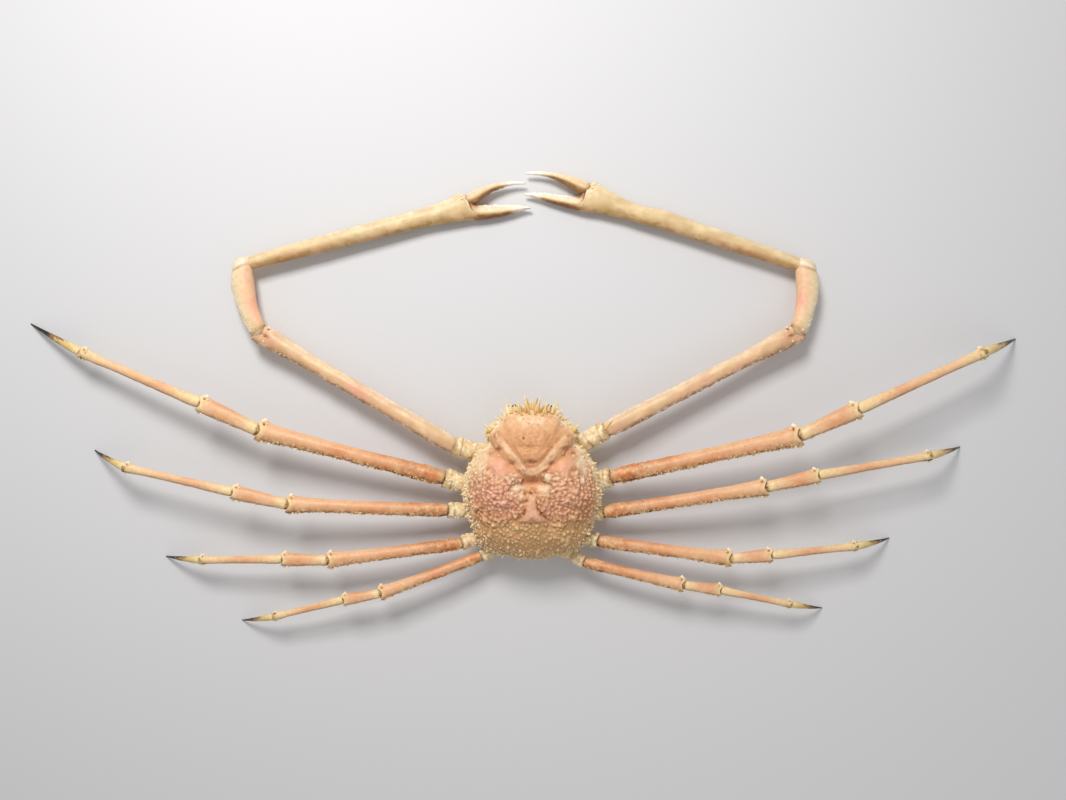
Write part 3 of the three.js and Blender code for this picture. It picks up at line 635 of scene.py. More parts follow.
def knobZoneAt(x, y, warpedX, warpedY, share):
    # rough zones have uneven borders, smooth ones keep theirs
    found = knobZones[0]
    for row in knobZones[1:]:
        (cx, cy), (sx, sy) = row[0], row[1]
        atX, atY = (x, y) if row[5] <= knobSpec["smooth"] else (warpedX, warpedY)
        if ((abs(atX) - cx) / sx) ** 2 + ((atY - cy) / sy) ** 2 < 1:
            found = row
    spacing, radius, height, shade = found[2:]
    if share > 0.9:                                   # small and pointed along the edge
        return 7.4, 2.0, 3.2, 0.3
    return spacing, radius, height, shade


def scatterKnobs():
    random = np.random.default_rng(knobSpec["seed"])
    draws = random.random((knobSpec["tries"], 3))
    cell = 7.0
    filled = {}
    placed = []
    bearings = draws[:, 0] * fullTurn
    shares = np.sqrt(draws[:, 1]) * knobSpec["edgeShare"]
    radii = shares * edgeRadius(bearings)
    spots = np.stack([radii * np.sin(bearings), radii * np.cos(bearings), 0 * radii], -1)
    warpX, warpY = (knobSpec["warp"] * (fieldNoise(spots, 17.0, shift) - 0.5) for shift in (21.0, 27.0))
    for i, (turn, reach, chance) in enumerate(draws):
        x, y, share = spots[i, 0], spots[i, 1], shares[i]
        spacing, size, height, shade = knobZoneAt(x, y, x + warpX[i], y + warpY[i], share)
        aboutDome = math.hypot(x, y - 80) < 90
        if aboutDome and float(ridgeDistance(np.array([x]), np.array([y]))[0][0]) < 8 and chance < 0.92:
            continue
        if abs(x) < 27 and -72 < y < -12 and float(heartShape(x, y)[0]) > 0.4:
            if chance < 0.8:
                continue
            spacing, size, height, shade = 7.0, 1.3, 1.2, 0.25
        lowX, lowY = int(x // cell), int(y // cell)
        span = int(spacing // cell) + 1
        near = (q for i in range(lowX - span, lowX + span + 1) for j in range(lowY - span, lowY + span + 1)
                for q in filled.get((i, j), ()))
        if any((q[0] - x) ** 2 + (q[1] - y) ** 2 < (0.5 * spacing + 0.5 * q[2]) ** 2 for q in near):
            continue
        filled.setdefault((lowX, lowY), []).append((x, y, spacing * (0.7 + 0.55 * chance)))
        grown = (0.5 + 0.75 * chance) * (knobSpec["bigSize"] if chance > 1 - knobSpec["bigShare"] else 1)
        aim, long = turn * 1e4 % math.pi, 1 + 0.5 * (reach * 1e4 % 1)
        placed.append((x, y, size * grown, height * grown, share, shade, aim, long))
    return np.array(placed)


# Colour regions of the back: centre, half size, strength; those off the middle repeat on the left
palePatches = [((100, 56), (18, 26), 0.6), ((29, -3), (11, 11), 0.8), ((17, -2), (9, 6), 0.42),
               ((37, 18), (13, 9), 0.55),
               ((0, 138), (46, 20), 0.5), ((66, 128), (16, 16), 0.3), ((0, -20), (6, 6), 0.4),
               ((84, 84), (12, 10), 0.35), ((104, 26), (12, 26), 0.55), ((60, 22), (16, 7), 0.3)]
pinkPatches = [((69, 44), (20, 15), 0.85), ((80, -8), (50, 38), 0.7), ((40, 12), (18, 16), 0.35),
               ((40, -46), (30, 22), 0.5)]
# dark patches: mostly painted shade in the hollows, pits and slits, with a faint darker tint over the dome
darkPatches = [((0, 50.5), (13, 3.8), 0.46), ((0, 43), (5, 2.4), 0.2), ((38, 48), (5, 4), 0.3),
               ((26, 33), (4, 3), 0.22),
               ((66, 76), (7, 4), 0.3), ((83, 66), (5, 4), 0.3), ((73, 101), (4, 4), 0.3),
               ((0, 13), (20, 6), 0.3), ((0, -10), (8, 2), 0.5), ((0, -71), (26, 4), 0.14),
               ((0, 92), (44, 22), 0.09), ((30, 152), (8, 5), 0.34)]
domePits = [((-16.4, 97.7), 1.7, 0.6), ((-17.6, 134.8), 1.5, 0.45), ((-5.8, 126), 1.4, 0.35),
            ((12.8, 124), 1.5, 0.4),
            ((17, 99), 1.4, 0.3), ((16, 134), 1.3, 0.25), ((-30, 112), 1.1, 0.25), ((31, 88), 1.2, 0.3),
            ((-9, 78), 1.2, 0.25)]


def backMasks(x, y, share):
    # cream rim and shoulders, tan dome, pink gill swellings, painted shade in the hollows and grooves,
    # olive rear
    far, inside = ridgeDistance(x, y)
    pale = 0.8 * ease(share, 0.86, 0.96) * (1 - 0.65 * ease(-y, 40, 110))
    cloud = planNoise(x, y, 12.0, 3.0)
    mottled = ease(planNoise(x, y, 7.0, 41.0), 0.2, 0.75)
    pale = np.maximum(pale, regionSum(x, y, palePatches) * (0.55 + 0.55 * mottled))
    pale = np.maximum(pale, 0.5 * cloud * (1 - ease(far, 4.0, 10.0)))
    within, beside = heartShape(x, y)
    pink = regionSum(x, y, pinkPatches) * (1 - ease(-y, 62, 88)) * (0.65 + 0.5 * mottled)
    pink = np.maximum(pink, 0.7 * within)
    pale = np.maximum(pale, 0.3 * within * cloud)
    olive = np.maximum(0.85 * ease(-y, 58, 84), 0.35 * bell(np.abs(x) - 128, 14) * bell(y - 10, 50))
    held = 1 - ease(np.abs(x), 50, 78)
    # a little darker at the rear, and painted shade in the hollows
    dark = 0.05 * ease(-y, 62, 96) + regionSum(x, y, darkPatches)
    # painted shade in the grooves along the U, varied by noise, and in the hollows beside the heart plate
    shadedCrease = 0.5 + 0.9 * (planNoise(x, y, 9.0, 30.0) - 0.2)
    dark += held * shadedCrease * (0.24 * bell(inside - 10.0, 2.4) + 0.1 * bell(inside + 10.4, 3.0)) + 0.3 * beside
    # painted shade in the dome's pits
    for (cx, cy), size, strength in domePits:
        dark += strength * bell(np.hypot(x - cx, y - cy), size)
    return np.stack([pale, dark, pink, olive], -1)


def squareToDisc(cells):
    # a square grid laid evenly over a disc: share of the radius, and bearing
    a, b = np.meshgrid(np.linspace(-1, 1, cells + 1), np.linspace(-1, 1, cells + 1), indexing="ij")
    wide = np.abs(a) > np.abs(b)
    safeA, safeB = np.where(a == 0, 1e-9, a), np.where(b == 0, 1e-9, b)
    share = np.where(wide, a, b)
    turn = np.where(wide, math.pi / 4 * b / safeA, math.pi / 2 - math.pi / 4 * a / safeB)
    turn = np.where(share < 0, turn + math.pi, turn)
    return np.abs(share).ravel(), (math.pi / 2 - turn).ravel() % fullTurn


def flankPlace(bearing, down):
    # a place on the side of the shell, from the rim (0) to the parting (1)
    share = float(np.interp(down, *zip(*bodySpec["flankRings"])))
    radius = share * edgeRadius(bearing)
    level = rimHeight(bearing) * (1 - down) + bodySpec["parting"] * down
    return np.stack([radius * np.sin(bearing), radius * np.cos(bearing), level], -1)


faceWay = np.array([0.0, 1.0, 0.12])
faceSpec = {
    # socket: width and depth; brow: distance, width, height; plate and pit: place, half size, height
    "eye": (36, 84), "socket": (7.5, 9.0), "brow": (11.8, 3.4, 5.2),
    "plate": (15, 64, 8.0, 11.5, 1.0), "pit": (8, 78, 4.6, 3.2, 4.6),
    "lip": (50, 2.8, 2.0, 24), "keel": (77, 8.0, 3.0, 2.8),
}


def faceForms(points):
    # eye sockets with brows, the feelers' plates with pits between them, and a lip over the mouth:
    # how far the shell stands out there, the painted shade in its sockets, pits and grooves, and how pale
    # it is
    x, y, z = np.asarray(points).T
    aside = np.abs(x)
    front = ease(y, 100, 134) * (1 - ease(z, 93, 104))
    eyeX, eyeZ = faceSpec["eye"]
    eye = np.hypot(aside - eyeX, 1.15 * (z - eyeZ))
    width, depth = faceSpec["socket"]
    away, thin, height = faceSpec["brow"]
    brow = bell(eye - away, thin) * (0.5 + 0.5 * ease(z, 76, 90))
    push = height * brow - depth * bell(eye / width, 1.0)
    plateX, plateZ, plateWide, plateTall, plateHeight = faceSpec["plate"]
    plate = np.hypot((aside - plateX) / plateWide, (z - plateZ) / plateTall)
    push += plateHeight * (1 - ease(plate, 0.6, 1.15)) - 1.3 * bell(plate - 1.22, 0.12)
    pitX, pitZ, pitWide, pitTall, pitDepth = faceSpec["pit"]
    pit = bell(np.hypot((aside - pitX) / pitWide, (z - pitZ) / pitTall), 1.0)
    lipZ, lipWidth, lipHeight, lipReach = faceSpec["lip"]
    lip = 1 - ease(aside, lipReach, lipReach + 14)
    keelZ, keelTall, keelWide, keelHeight = faceSpec["keel"]
    push += lip * (lipHeight * bell(z - lipZ, lipWidth) - 1.0 * bell(z - lipZ - 6.5, 2.6)) - pitDepth * pit
    push += keelHeight * bell(x, keelWide) * bell(z - keelZ, keelTall)
    # painted shade in the eye sockets, in the groove round the plates, in the pits and under the lip
    dark = 0.8 * bell(eye / (width - 0.5), 1.0) + 0.14 * bell(plate - 1.22, 0.12) + 0.42 * pit
    dark += 0.1 * lip * bell(z - lipZ - 6.5, 2.6)
    return push * front, dark * front, 0.85 * front * np.maximum(brow, 1 - ease(plate, 0.7, 1.0))


def makeCarapace():
    cells = bodySpec["cells"]
    share, bearing = squareToDisc(cells)
    share = (1 - bodySpec["rimPull"]) * share + bodySpec["rimPull"] * np.sin(math.pi / 2 * share)
    reach = share * edgeRadius(bearing)
    x, y = reach * np.sin(bearing), reach * np.cos(bearing)
    flat = np.stack([x, y, domeHeight(x, y)], -1)
    normal = domeNormal(x * 0.995, y * 0.995)
    knobs = scatterKnobs()
    masks = backMasks(x, y, share)
    # each knob's foot is part of the skin, and painted shade darkens the skin between thick-set knobs
    tree = KDTree(len(flat))
    for i, spot in enumerate(flat):
        tree.insert(spot, i)
    tree.balance()
    lift = np.zeros(len(flat))
    nearKnob = np.zeros(len(flat))
    thick = np.zeros(len(flat))
    knobPlaces = np.stack([knobs[:, 0], knobs[:, 1], domeHeight(knobs[:, 0], knobs[:, 1])], -1)
    for (cx, cy, size, height, _, shade, aim, long), spot in zip(knobs, knobPlaces):
        for at, i, far in tree.find_range(spot, 2.6 * size + 4):
            turned = math.atan2(at[1] - cy, at[0] - cx) - aim
            foot = size * (1.6 if shade > 0.6 else 1.2) * (1 + (long - 1) * math.cos(turned) ** 2)
            foot *= 1 + 0.16 * math.sin(3 * turned + 9 * aim)
            rise = max(1 - far / foot, 0.0) ** 0.85 * 0.62 + 0.38 * math.exp(-(1.15 * far / foot) ** 2)
            lift[i] = max(lift[i], 0.7 * height * rise)
            nearKnob[i] = max(nearKnob[i], rise)
            thick[i] = max(thick[i], shade * math.exp(-(far / (3.0 * size)) ** 2))
    within = heartShape(x, y)[0]
    thick = thick * (1 - 0.85 * within)
    lift = lift * (1 - 0.65 * within)
    swell = fieldNoise(flat, 11.0) - 0.5
    fine = fieldNoise(flat, 3.0, 7.0) - 0.5
    rough = 0.4 + 0.6 * np.clip(thick, 0, 1)
    edge = 1 - ease(share, 0.985, 1.0)
    behind = ease(-y, -20, 60)
    lumpy = np.abs(fieldNoise(flat, 7.0, 33.0) - 0.5) * 2
    steep = behind * ease(share, 0.88, 0.95)
    onDome = bell(np.hypot(x / 58, (y - 98) / 50), 1.0)
    creased = np.abs(fieldNoise(flat * (1.0, 1.6, 1.0), 15.0, 4.0) - 0.5)
    wrinkled = np.abs(fieldNoise(flat * (1.0, 1.5, 1.0), 9.0, 44.0) - 0.5) * 2
    folds = onDome * (1.3 * ease(creased, 0.0, 0.2) - 1.2 + 5.5 * (fieldNoise(flat, 19.0, 9.0) - 0.5))
    folds += onDome * ease(-y, -112, -84) * 1.3 * (ease(wrinkled, 0.0, 0.5) - 0.8)
    crumple = 1 - 2 * np.abs(2 * fieldNoise(flat, 9.0, 14.0) - 1)
    crumpled = 2.4 * np.clip(thick, 0, 1) * crumple
    raised = edge * (lift + folds + crumpled + rough * (2.4 * swell + 1.2 * fine))
    grained = steep * (1 - ease(share, 0.995, 1.0)) * 3.0 * (ease(lumpy, 0.0, 0.7) - 0.6)
    points = flat + normal * raised[:, None]
    points += normal * grained[:, None]
    # painted shade between the lumps of the steep rear slope, and in the dome's creases and wrinkles
    masks[:, 1] += 0.2 * steep * (1 - ease(lumpy, 0.0, 0.4))
    masks[:, 1] += onDome * (0.08 * (1 - ease(creased, 0.0, 0.1)) + 0.06 * ease(-y, -108, -84)
                             * (1 - ease(wrinkled, 0.0, 0.2)))
    # paler patches over the dome: painted highlight
    masks[:, 0] += 0.22 * onDome * ease(fieldNoise(flat, 15.0, 12.0), 0.52, 0.75)
    for (cx, cy), size, strength in domePits:
        points[:, 2] -= 2.2 * strength * bell(np.hypot(x - cx, y - cy), size)
    # painted shade in the crevices between knobs
    masks[:, 1] += thick * np.clip(0.5 - 0.95 * nearKnob, -0.12, 0.5) * (0.75 + 0.8 * (swell + 0.2))
    # paler near the knob tops: partly their own cream, partly painted highlight
    masks[:, 0] += 0.5 * np.clip(nearKnob - 0.35, 0, 1) * (0.6 + 1.6 * np.clip(swell + 0.3, 0, 1))
    masks[:, 2] *= 0.8 + 0.8 * (fieldNoise(flat, 24.0, 5.0) - 0.2)
    index = np.arange((cells + 1) ** 2).reshape(cells + 1, cells + 1)
    corners = (index[:-1, :-1], index[1:, :-1], index[1:, 1:], index[:-1, 1:])
    faces = np.stack(corners, -1).reshape(-1, 4).tolist()
    # the face's relief, its painted shade and its pale brows and plates
    push, faceShade, paler = faceForms(points)
    points = points + push[:, None] * faceWay
    masks[:, 1] += faceShade
    masks[:, 0] = np.maximum(masks[:, 0], paler)
    # flank below the rim, then a lid at the parting
    border = np.concatenate([index[:-1, 0], index[-1, :-1], index[:0:-1, -1], index[0, :0:-1]])
    rings = [points]
    tints = [masks]
    last = border
    start = len(points)
    borderBearing = bearing[border]
    for k in range(1, bodySpec["flankCount"] + 1):
        down = k / bodySpec["flankCount"]
        ring = flankPlace(borderBearing, down)
        outward = np.stack([np.sin(borderBearing), np.cos(borderBearing), 0 * borderBearing], -1)
        fade = ease(1 - down, 0.0, 0.12) * ease(down, 0.0, 0.12)
        behind = ease(-np.cos(borderBearing), -0.3, 0.3)
        lumpy = np.abs(fieldNoise(ring, 7.0, 33.0) - 0.5) * 2
        uneven = 2.6 * (fieldNoise(ring, 12.0, 3.0) - 0.5) + 1.0 * (fieldNoise(ring, 3.6, 5.0) - 0.5)
        uneven = uneven + 2.2 * behind * (ease(lumpy, 0.0, 0.7) - 0.6)
        push, faceShade, paler = faceForms(ring)
        ring = ring + outward * (fade * uneven)[:, None] + push[:, None] * faceWay
        rings.append(ring)
        shaded = np.zeros((len(border), 4))
        tanned = behind * ease(down, 0.04, 0.3) * (0.5 + 0.9 * (fieldNoise(ring, 9.0, 36.0) - 0.2))
        shaded[:, 0] = np.maximum((0.62 + 0.5 * (fieldNoise(ring, 20.0, 6.0) - 0.3)) * (1 - 0.75 * tanned),
                                  paler)
        # the face's painted shade, darker just above the parting, and painted shade between the rear lumps
        shaded[:, 1] = faceShade + 0.12 * bell(1 - down, 0.08) + 0.16 * tanned * (1 - ease(lumpy, 0.0, 0.4))
        shaded[:, 2] = 0.3 * (1 - down)
        shaded[:, 3] = 0.35 * down + 0.3 * tanned
        tints.append(shaded)
        now = np.arange(start, start + len(border))
        onward, nextOnward = np.roll(last, -1), np.roll(now, -1)
        faces += np.stack([last, now, nextOnward, onward], -1).tolist()
        last = now
        start += len(border)
    rings.append(np.array([[0, 0, bodySpec["parting"]]]))
    tints.append(np.array([[0.3, 0.3, 0, 0]]))
    faces += [(int(i), start, int(j)) for i, j in zip(last, np.roll(last, -1))]
    made = piece("carapaceShell", np.vstack(rings), faces, shells["backShell"], np.vstack(tints))
    fixNormals(made)
    hand(made, "back_shell", "carapace")
    return knobs, knobPlaces


def fixNormals(made):
    import bmesh
    work = bmesh.new()
    work.from_mesh(made.data)
    bmesh.ops.remove_doubles(work, verts=work.verts, dist=1e-7)
    bmesh.ops.recalc_face_normals(work, faces=work.faces)
    work.to_mesh(made.data)
    work.free()


knobs, knobPlaces = makeCarapace()
print("carapace made with", len(knobs), "knobs")


def makeKnobTips():
    roots = []
    normal = domeNormal(knobs[:, 0], knobs[:, 1])
    masks = backMasks(knobs[:, 0], knobs[:, 1], knobs[:, 4])
    clumps = ease(fieldNoise(knobPlaces, 16.0, 17.0), 0.35, 0.7)
    random = np.random.default_rng(8)
    rows = zip(knobs, knobPlaces, normal, masks, clumps)
    for (_, y, size, height, share, *_), spot, up, tint, clump in rows:
        facing = unit(up + (random.uniform(-0.5, 0.5), random.uniform(-0.3, 0.6), 0))
        grown = random.uniform(0.5, 1.35)
        if share < 0.9 and random.uniform() < 0.2:
            continue
        sharp = 0.85 if share > 0.9 else random.uniform(0.4, 0.8)
        base = spot + up * 0.4 * height
        # paler tips, in clumps at the front: partly their own cream, partly painted highlight
        bright = random.uniform(0.0, 0.1 + 0.45 * clump) if y > -66 else random.uniform(0.0, 1.0) ** 2
        pale = tint[0] + bright if share < 0.9 else random.uniform(0.3, 0.85)
        roots.append((base, facing, (size * sharp, size * sharp * random.uniform(0.8, 1.2), height * grown),
                      (pale, 0.3 * tint[1], tint[2] * 0.8, tint[3] * 0.6)))
    setThorns("carapaceKnobs", roots, shells["backShell"], "back_shell",
              sides=8, bluntness=1.4, sizeSpread=0.16, seed=4)


makeKnobTips()

flankNubSpec = {"count": 760, "faceCount": 300, "faceReach": 0.42, "rearCount": 520, "rearReach": 1.9,
                "slopeCount": 620, "slopeReach": 1.95, "slopeRise": 0.5, "radius": 1.7, "height": 2.2,
                "seed": 51}


def makeFlankNubs():
    # granules on the sides of the shell, in a thick row along the parting
    random = np.random.default_rng(flankNubSpec["seed"])
    roots = []
    faceFrom = flankNubSpec["count"]
    rearFrom = faceFrom + flankNubSpec["faceCount"]
    for k in range(rearFrom + flankNubSpec["rearCount"]):
        onFace = faceFrom <= k < rearFrom
        reach = flankNubSpec["faceReach"] if onFace else flankNubSpec["rearReach"]
        bearing = random.uniform(-reach, reach) if k >= faceFrom else random.uniform(0, fullTurn)
        bearing += math.pi if k >= rearFrom else 0
        down = random.uniform(0.9, 0.97) if k % 3 == 0 else random.uniform(0.04 if onFace else 0.08, 0.9)
        spot = flankPlace(np.array([bearing]), down)[0]
        grown = random.uniform(0.35, 0.8) if onFace else random.uniform(0.4, 1.6 if k >= rearFrom else 1.2)
        if spot[1] > 118 and abs(spot[0]) < 50:
            eyeX, eyeZ = faceSpec["eye"]
            if k % 3 and not onFace or math.hypot(abs(spot[0]) - eyeX, spot[2] - eyeZ) < 11:
                continue
            spot = spot + faceForms(spot[None])[0][0] * faceWay
        outward = unit((math.sin(bearing), math.cos(bearing), random.uniform(-0.3, 0.5)))
        wide, tall = flankNubSpec["radius"] * grown, flankNubSpec["height"] * grown
        roots.append((spot - 0.2 * outward, outward, (wide, wide, tall * random.uniform(0.7, 1.5)),
                      (random.uniform(0.5, 1.0), 0.0, 0.1, 0.1)))
    # the steep slope above the rim, at the rear and sides
    for _ in range(flankNubSpec["slopeCount"]):
        bearing = math.pi + random.uniform(-1, 1) * flankNubSpec["slopeReach"]
        rise = flankNubSpec["slopeRise"] * random.uniform(0.02, 1)
        share = (1 - rise ** (1 / bodySpec["fullness"])) ** (1 / bodySpec["roundness"])
        radius = share * float(edgeRadius(bearing))
        x, y = np.array([radius * math.sin(bearing)]), np.array([radius * math.cos(bearing)])
        facing = unit(domeNormal(0.99 * x, 0.99 * y)[0] + (0, 0, random.uniform(-0.1, 0.4)))
        grown = random.uniform(0.5, 1.7)
        wide, tall = flankNubSpec["radius"] * grown, flankNubSpec["height"] * grown
        roots.append((np.array([x[0], y[0], domeHeight(x, y)[0]]), facing,
                      (wide, wide * random.uniform(0.8, 1.2), tall * random.uniform(0.6, 1.3)),
                      (random.uniform(0.2, 0.9), 0.0, 0.1, 0.4)))
    setThorns("flankNubs", roots, shells["bellyShell"], "back_shell",
              sides=8, bluntness=1.8, sizeSpread=0.15, seed=6)


makeFlankNubs()

# Spines of the head and flanks: root on the plan, tip, root radius; all repeat on the left
headSpines = [
    ((9, 150), (17, 184, 112), 5.0), ((24, 148), (31, 172, 112), 4.2), ((41, 146), (46, 165, 104), 3.8),
    ((60, 134), (66, 140, 101), 3.0), ((83, 110), (98, 124, 95), 4.4), ((86, 99), (99, 101, 90), 3.4),
    ((3, 154), (2, 176, 104), 3.4), ((16, 150), (25, 167, 120), 3.2), ((31, 150), (37, 164, 97), 4.8),
    ((50, 143), (53, 152, 102), 2.6), ((73, 122), (80, 129, 97), 2.6), ((13, 147), (12, 168, 124), 2.8),
    ((78, 114), (87, 122, 99), 2.6), ((88, 108), (97, 112, 91), 2.4), ((87, 90), (95, 90, 88), 2.2),
    ((6, 144), (8, 154, 127), 2.4), ((20, 141), (24, 151, 125), 2.2), ((91, 104), (101, 107, 84), 2.6),
    ((28, 145), (26, 160, 116), 2.6),
    # under the eye and along the cheek, with the height of the root
    ((46, 149, 73), (54, 161, 70), 3.4), ((58, 143, 66), (66, 153, 62), 3.0),
    ((66, 130, 62), (77, 138, 58), 3.2),
    ((76, 120, 60), (87, 127, 56), 3.0), ((86, 100, 58), (97, 105, 54), 3.0),
    ((49, 146, 56), (56, 155, 52), 2.4),
    ((34, 153, 68), (37, 161, 64), 2.4), ((88, 86, 62), (99, 88, 60), 2.6),
]
flankSpec = {"bearings": [52, 62, 71, 80, 98, 107, 116, 125, 134, 146, 158, 170], "length": 11.0,
             "radius": 3.6}


def spineMesh(rows, sides=12, rings=12):
    # tapered, slightly curved spines with their roots sunk in the shell
    points, faces, masks = [], [], []
    for root, tip, radius in rows:
        root, tip = np.array(root, float), np.array(tip, float)
        along = unit(tip - root)
        length = np.linalg.norm(tip - root)
        helper = np.array([1.0, 0, 0]) if abs(along[2]) > 0.9 else np.array([0, 0, 1.0])
        across = unit(np.cross(helper, along))
        rise = np.cross(along, across)
        start = len(points)
        for k in range(rings):
            t = k / (rings - 1)
            s = -0.35 * radius + t * (length + 0.35 * radius) * 0.995
            size = radius * (1.16 * (1 - t) ** 1.15 + 0.16 * (1 - t) ** 0.4)
            centre = root + along * s + rise * 0.05 * length * math.sin(math.pi * t)
            for i in range(sides):
                turn = fullTurn * i / sides
                points.append(centre + across * math.cos(turn) * size + rise * math.sin(turn) * size)
                masks.append((0.1 + 0.8 * t ** 1.5, 0.1 * (1 - t), 0.3 * (1 - t)))
        faces += ringFaces(rings, sides, start)
        faces.append(tuple(start + i for i in range(sides))[::-1])
        points.append(tip)
        masks.append((1.0, 0, 0))
        top = start + (rings - 1) * sides
        faces += [(top + i, top + (i + 1) % sides, len(points) - 1) for i in range(sides)]
    return np.array(points), faces, np.array(masks)


def makeHeadSpines():
    rows = []
    random = np.random.default_rng(17)
    for way in (1, -1):
        for (x, y, *given), tip, radius in headSpines:
            z = given[0] if given else float(domeHeight(np.array([way * x]), np.array([y]))[0])
            uneven = random.uniform(-1.4, 1.4, 3)
            rows.append(((way * x, y, z), np.array([way * tip[0], tip[1], tip[2]]) + uneven, radius))
        for i, degrees in enumerate(flankSpec["bearings"]):
            bearing = way * math.radians(degrees)
            reach = 0.975 * float(edgeRadius(bearing))
            x, y = reach * math.sin(bearing), reach * math.cos(bearing)
            z = float(domeHeight(np.array([x]), np.array([y]))[0])
            outward = unit((math.sin(bearing), math.cos(bearing), 0.45))
            length = flankSpec["length"] * (0.75 if i % 2 else 1) * random.uniform(0.8, 1.05)
            rows.append(((x, y, z), np.array([x, y, z]) + outward * length, flankSpec["radius"]))
    points, faces, masks = spineMesh(rows)
    hand(piece("carapaceSpines", points, faces, shells["spineShell"], masks), "back_shell")


makeHeadSpines()
print("carapace knobs and spines made")

# Limbs: one loft for every piece, its rings set by the same profiles as the frame

profiles = {
    "base": [(0, 0, 1.05), (0, 0.9, 1.2), (0, 1.6, 1.16), (1, -1.1, 1.0), (1, -0.7, 1.16), (1, -0.2, 1.1),
             (1, 0, 0.98)],
    "merus": [(0, 0, 0.76), (0, 0.25, 0.92), (0, 0.6, 0.98), (0, 2.2, 0.94), (0.5, 0, 0.9), (1, -2.6, 0.96),
              (1, -0.95, 1.12), (1, -0.4, 1.28), (1, -0.12, 1.18), (1, 0, 1.06)],
    "carpus": [(0, 0, 0.74), (0, 0.25, 0.84), (0, 0.7, 0.8), (0.5, 0, 0.92), (1, -0.9, 1.02),
               (1, -0.35, 1.06), (1, 0, 0.86)],
    "propodus": [(0, 0, 0.62), (0, 0.2, 0.74), (0, 0.8, 0.72), (0.35, 0, 0.62), (0.75, 0, 0.6),
                 (1, -0.9, 0.7), (1, -0.3, 0.78), (1, 0, 0.64)],
    "dactyl": [(0, 0, 0.5), (0, 0.15, 0.6), (0, 0.6, 0.58), (0.35, 0, 0.42), (0.65, 0, 0.27),
               (0.85, 0, 0.16), (1, 0, 0.08)],
    "armBase": [(0, 0, 1.1), (0, 0.9, 1.25), (1, -1.2, 1.05), (1, -0.7, 1.16), (1, -0.2, 1.08),
                (1, 0, 0.9)],
    "armMerus": [(0, 0, 0.8), (0, 0.3, 1.0), (0, 1.2, 1.1), (0.3, 0, 0.98), (0.7, 0, 0.94), (1, -2.4, 1.08),
                 (1, -0.9, 1.26), (1, -0.3, 1.2), (1, 0, 0.98)],
    "armCarpus": [(0, 0, 0.86), (0, 0.25, 1.0), (0, 0.7, 1.06), (0.45, 0, 1.22), (0.72, 0, 1.42),
                  (1, -0.25, 1.34), (1, 0.2, 1.1)],
}
limbLook = {
    "base": {"bow": 0, "sides": 40, "slot": "leg_base_shell", "finish": "bellyShell"},
    "merus": {"bow": 5, "sides": 36, "slot": "thigh_shell", "finish": "legShell"},
    "carpus": {"bow": 2, "sides": 36, "slot": "knee_shell", "finish": "legShell"},
    "propodus": {"bow": 3, "sides": 30, "slot": "shin_shell", "finish": "legShell", "taper": 0.9},
    "dactyl": {"bow": 5, "sides": 26, "slot": "toe_shell", "finish": "toeShell"},
}
legs = {
    "left_leg_1": (33, [(-88, -20, 38), (-182, 11, 56), (-557, 111, 84), (-677, 166, 82), (-935, 271, 53),
                        (-1068, 334, 0)]),
    "left_leg_2": (28, [(-88, -60, 38), (-174, -56, 54), (-497, -39, 88), (-608, -14, 90), (-834, 35, 76),
                        (-932, 65, 0)]),
    "left_leg_3": (26, [(-73, -102, 36), (-145, -125, 50), (-418, -156, 72), (-513, -154, 70),
                        (-686, -158, 57), (-780, -161, 0)]),
    "left_leg_4": (23, [(-34, -121, 36), (-106, -152, 48), (-312, -225, 66), (-389, -239, 64),
                        (-536, -277, 52), (-618, -297, 0)]),
    "right_leg_1": (33, [(85, -20, 38), (163, 13, 58), (540, 101, 100), (655, 154, 110), (915, 269, 97),
                         (1030, 302, 0)]),
    "right_leg_2": (28, [(85, -60, 38), (149, -60, 54), (476, -4, 90), (580, 20, 95), (812, 59, 82),
                         (912, 72, 0)]),
    "right_leg_3": (26, [(71, -102, 36), (137, -120, 50), (407, -152, 74), (491, -145, 74), (670, -129, 60),
                         (761, -122, 0)]),
    "right_leg_4": (23, [(31, -121, 36), (108, -164, 48), (312, -208, 66), (389, -219, 64), (537, -251, 52),
                         (618, -271, 0)]),
}
ringStep = 1.9           # between the rings of a limb
profileSamples = 600
edgeSamples = 900
vertical = np.array([0, 0, 1.0])
# Rings past a limb's ends: share of the end's size, how far along in widths; then their tints
headSteps = [(0.97, -0.06), (0.92, -0.14), (0.8, -0.24), (0.6, -0.31), (0.3, -0.35)]
cupSteps = [(0.98, 0.015), (0.93, 0.015), (0.88, -0.02), (0.8, -0.035), (0.7, -0.03), (0.4, -0.02)]
membraneTint = (0.35, 0.3, 0.1, 0.3)
cupTints = [(0.85, 0.05, 0, 0), (0.6, 0.2, 0, 0), (0.1, 0.38, 0, 0)]


def bendNormal(before, joint, after):
    return unit(unit(np.subtract(joint, before)) + unit(np.subtract(after, joint)))


def softProfile(rows, t, width, length):
    spots = np.array([end + offset * width / length for end, offset, _ in rows])
    sizes = np.array([size for _, _, size in rows])
    fine = np.linspace(0, 1, profileSamples)
    raw = np.interp(fine, spots, sizes)
    reach = max(int(0.16 * width / length * profileSamples), 1)
    kernel = bell(np.arange(-3 * reach, 3 * reach + 1), reach * 1.4)
    kernel /= kernel.sum()
    soft = np.convolve(np.pad(raw, 3 * reach, mode="edge"), kernel, mode="valid")
    return np.interp(t, fine, soft)


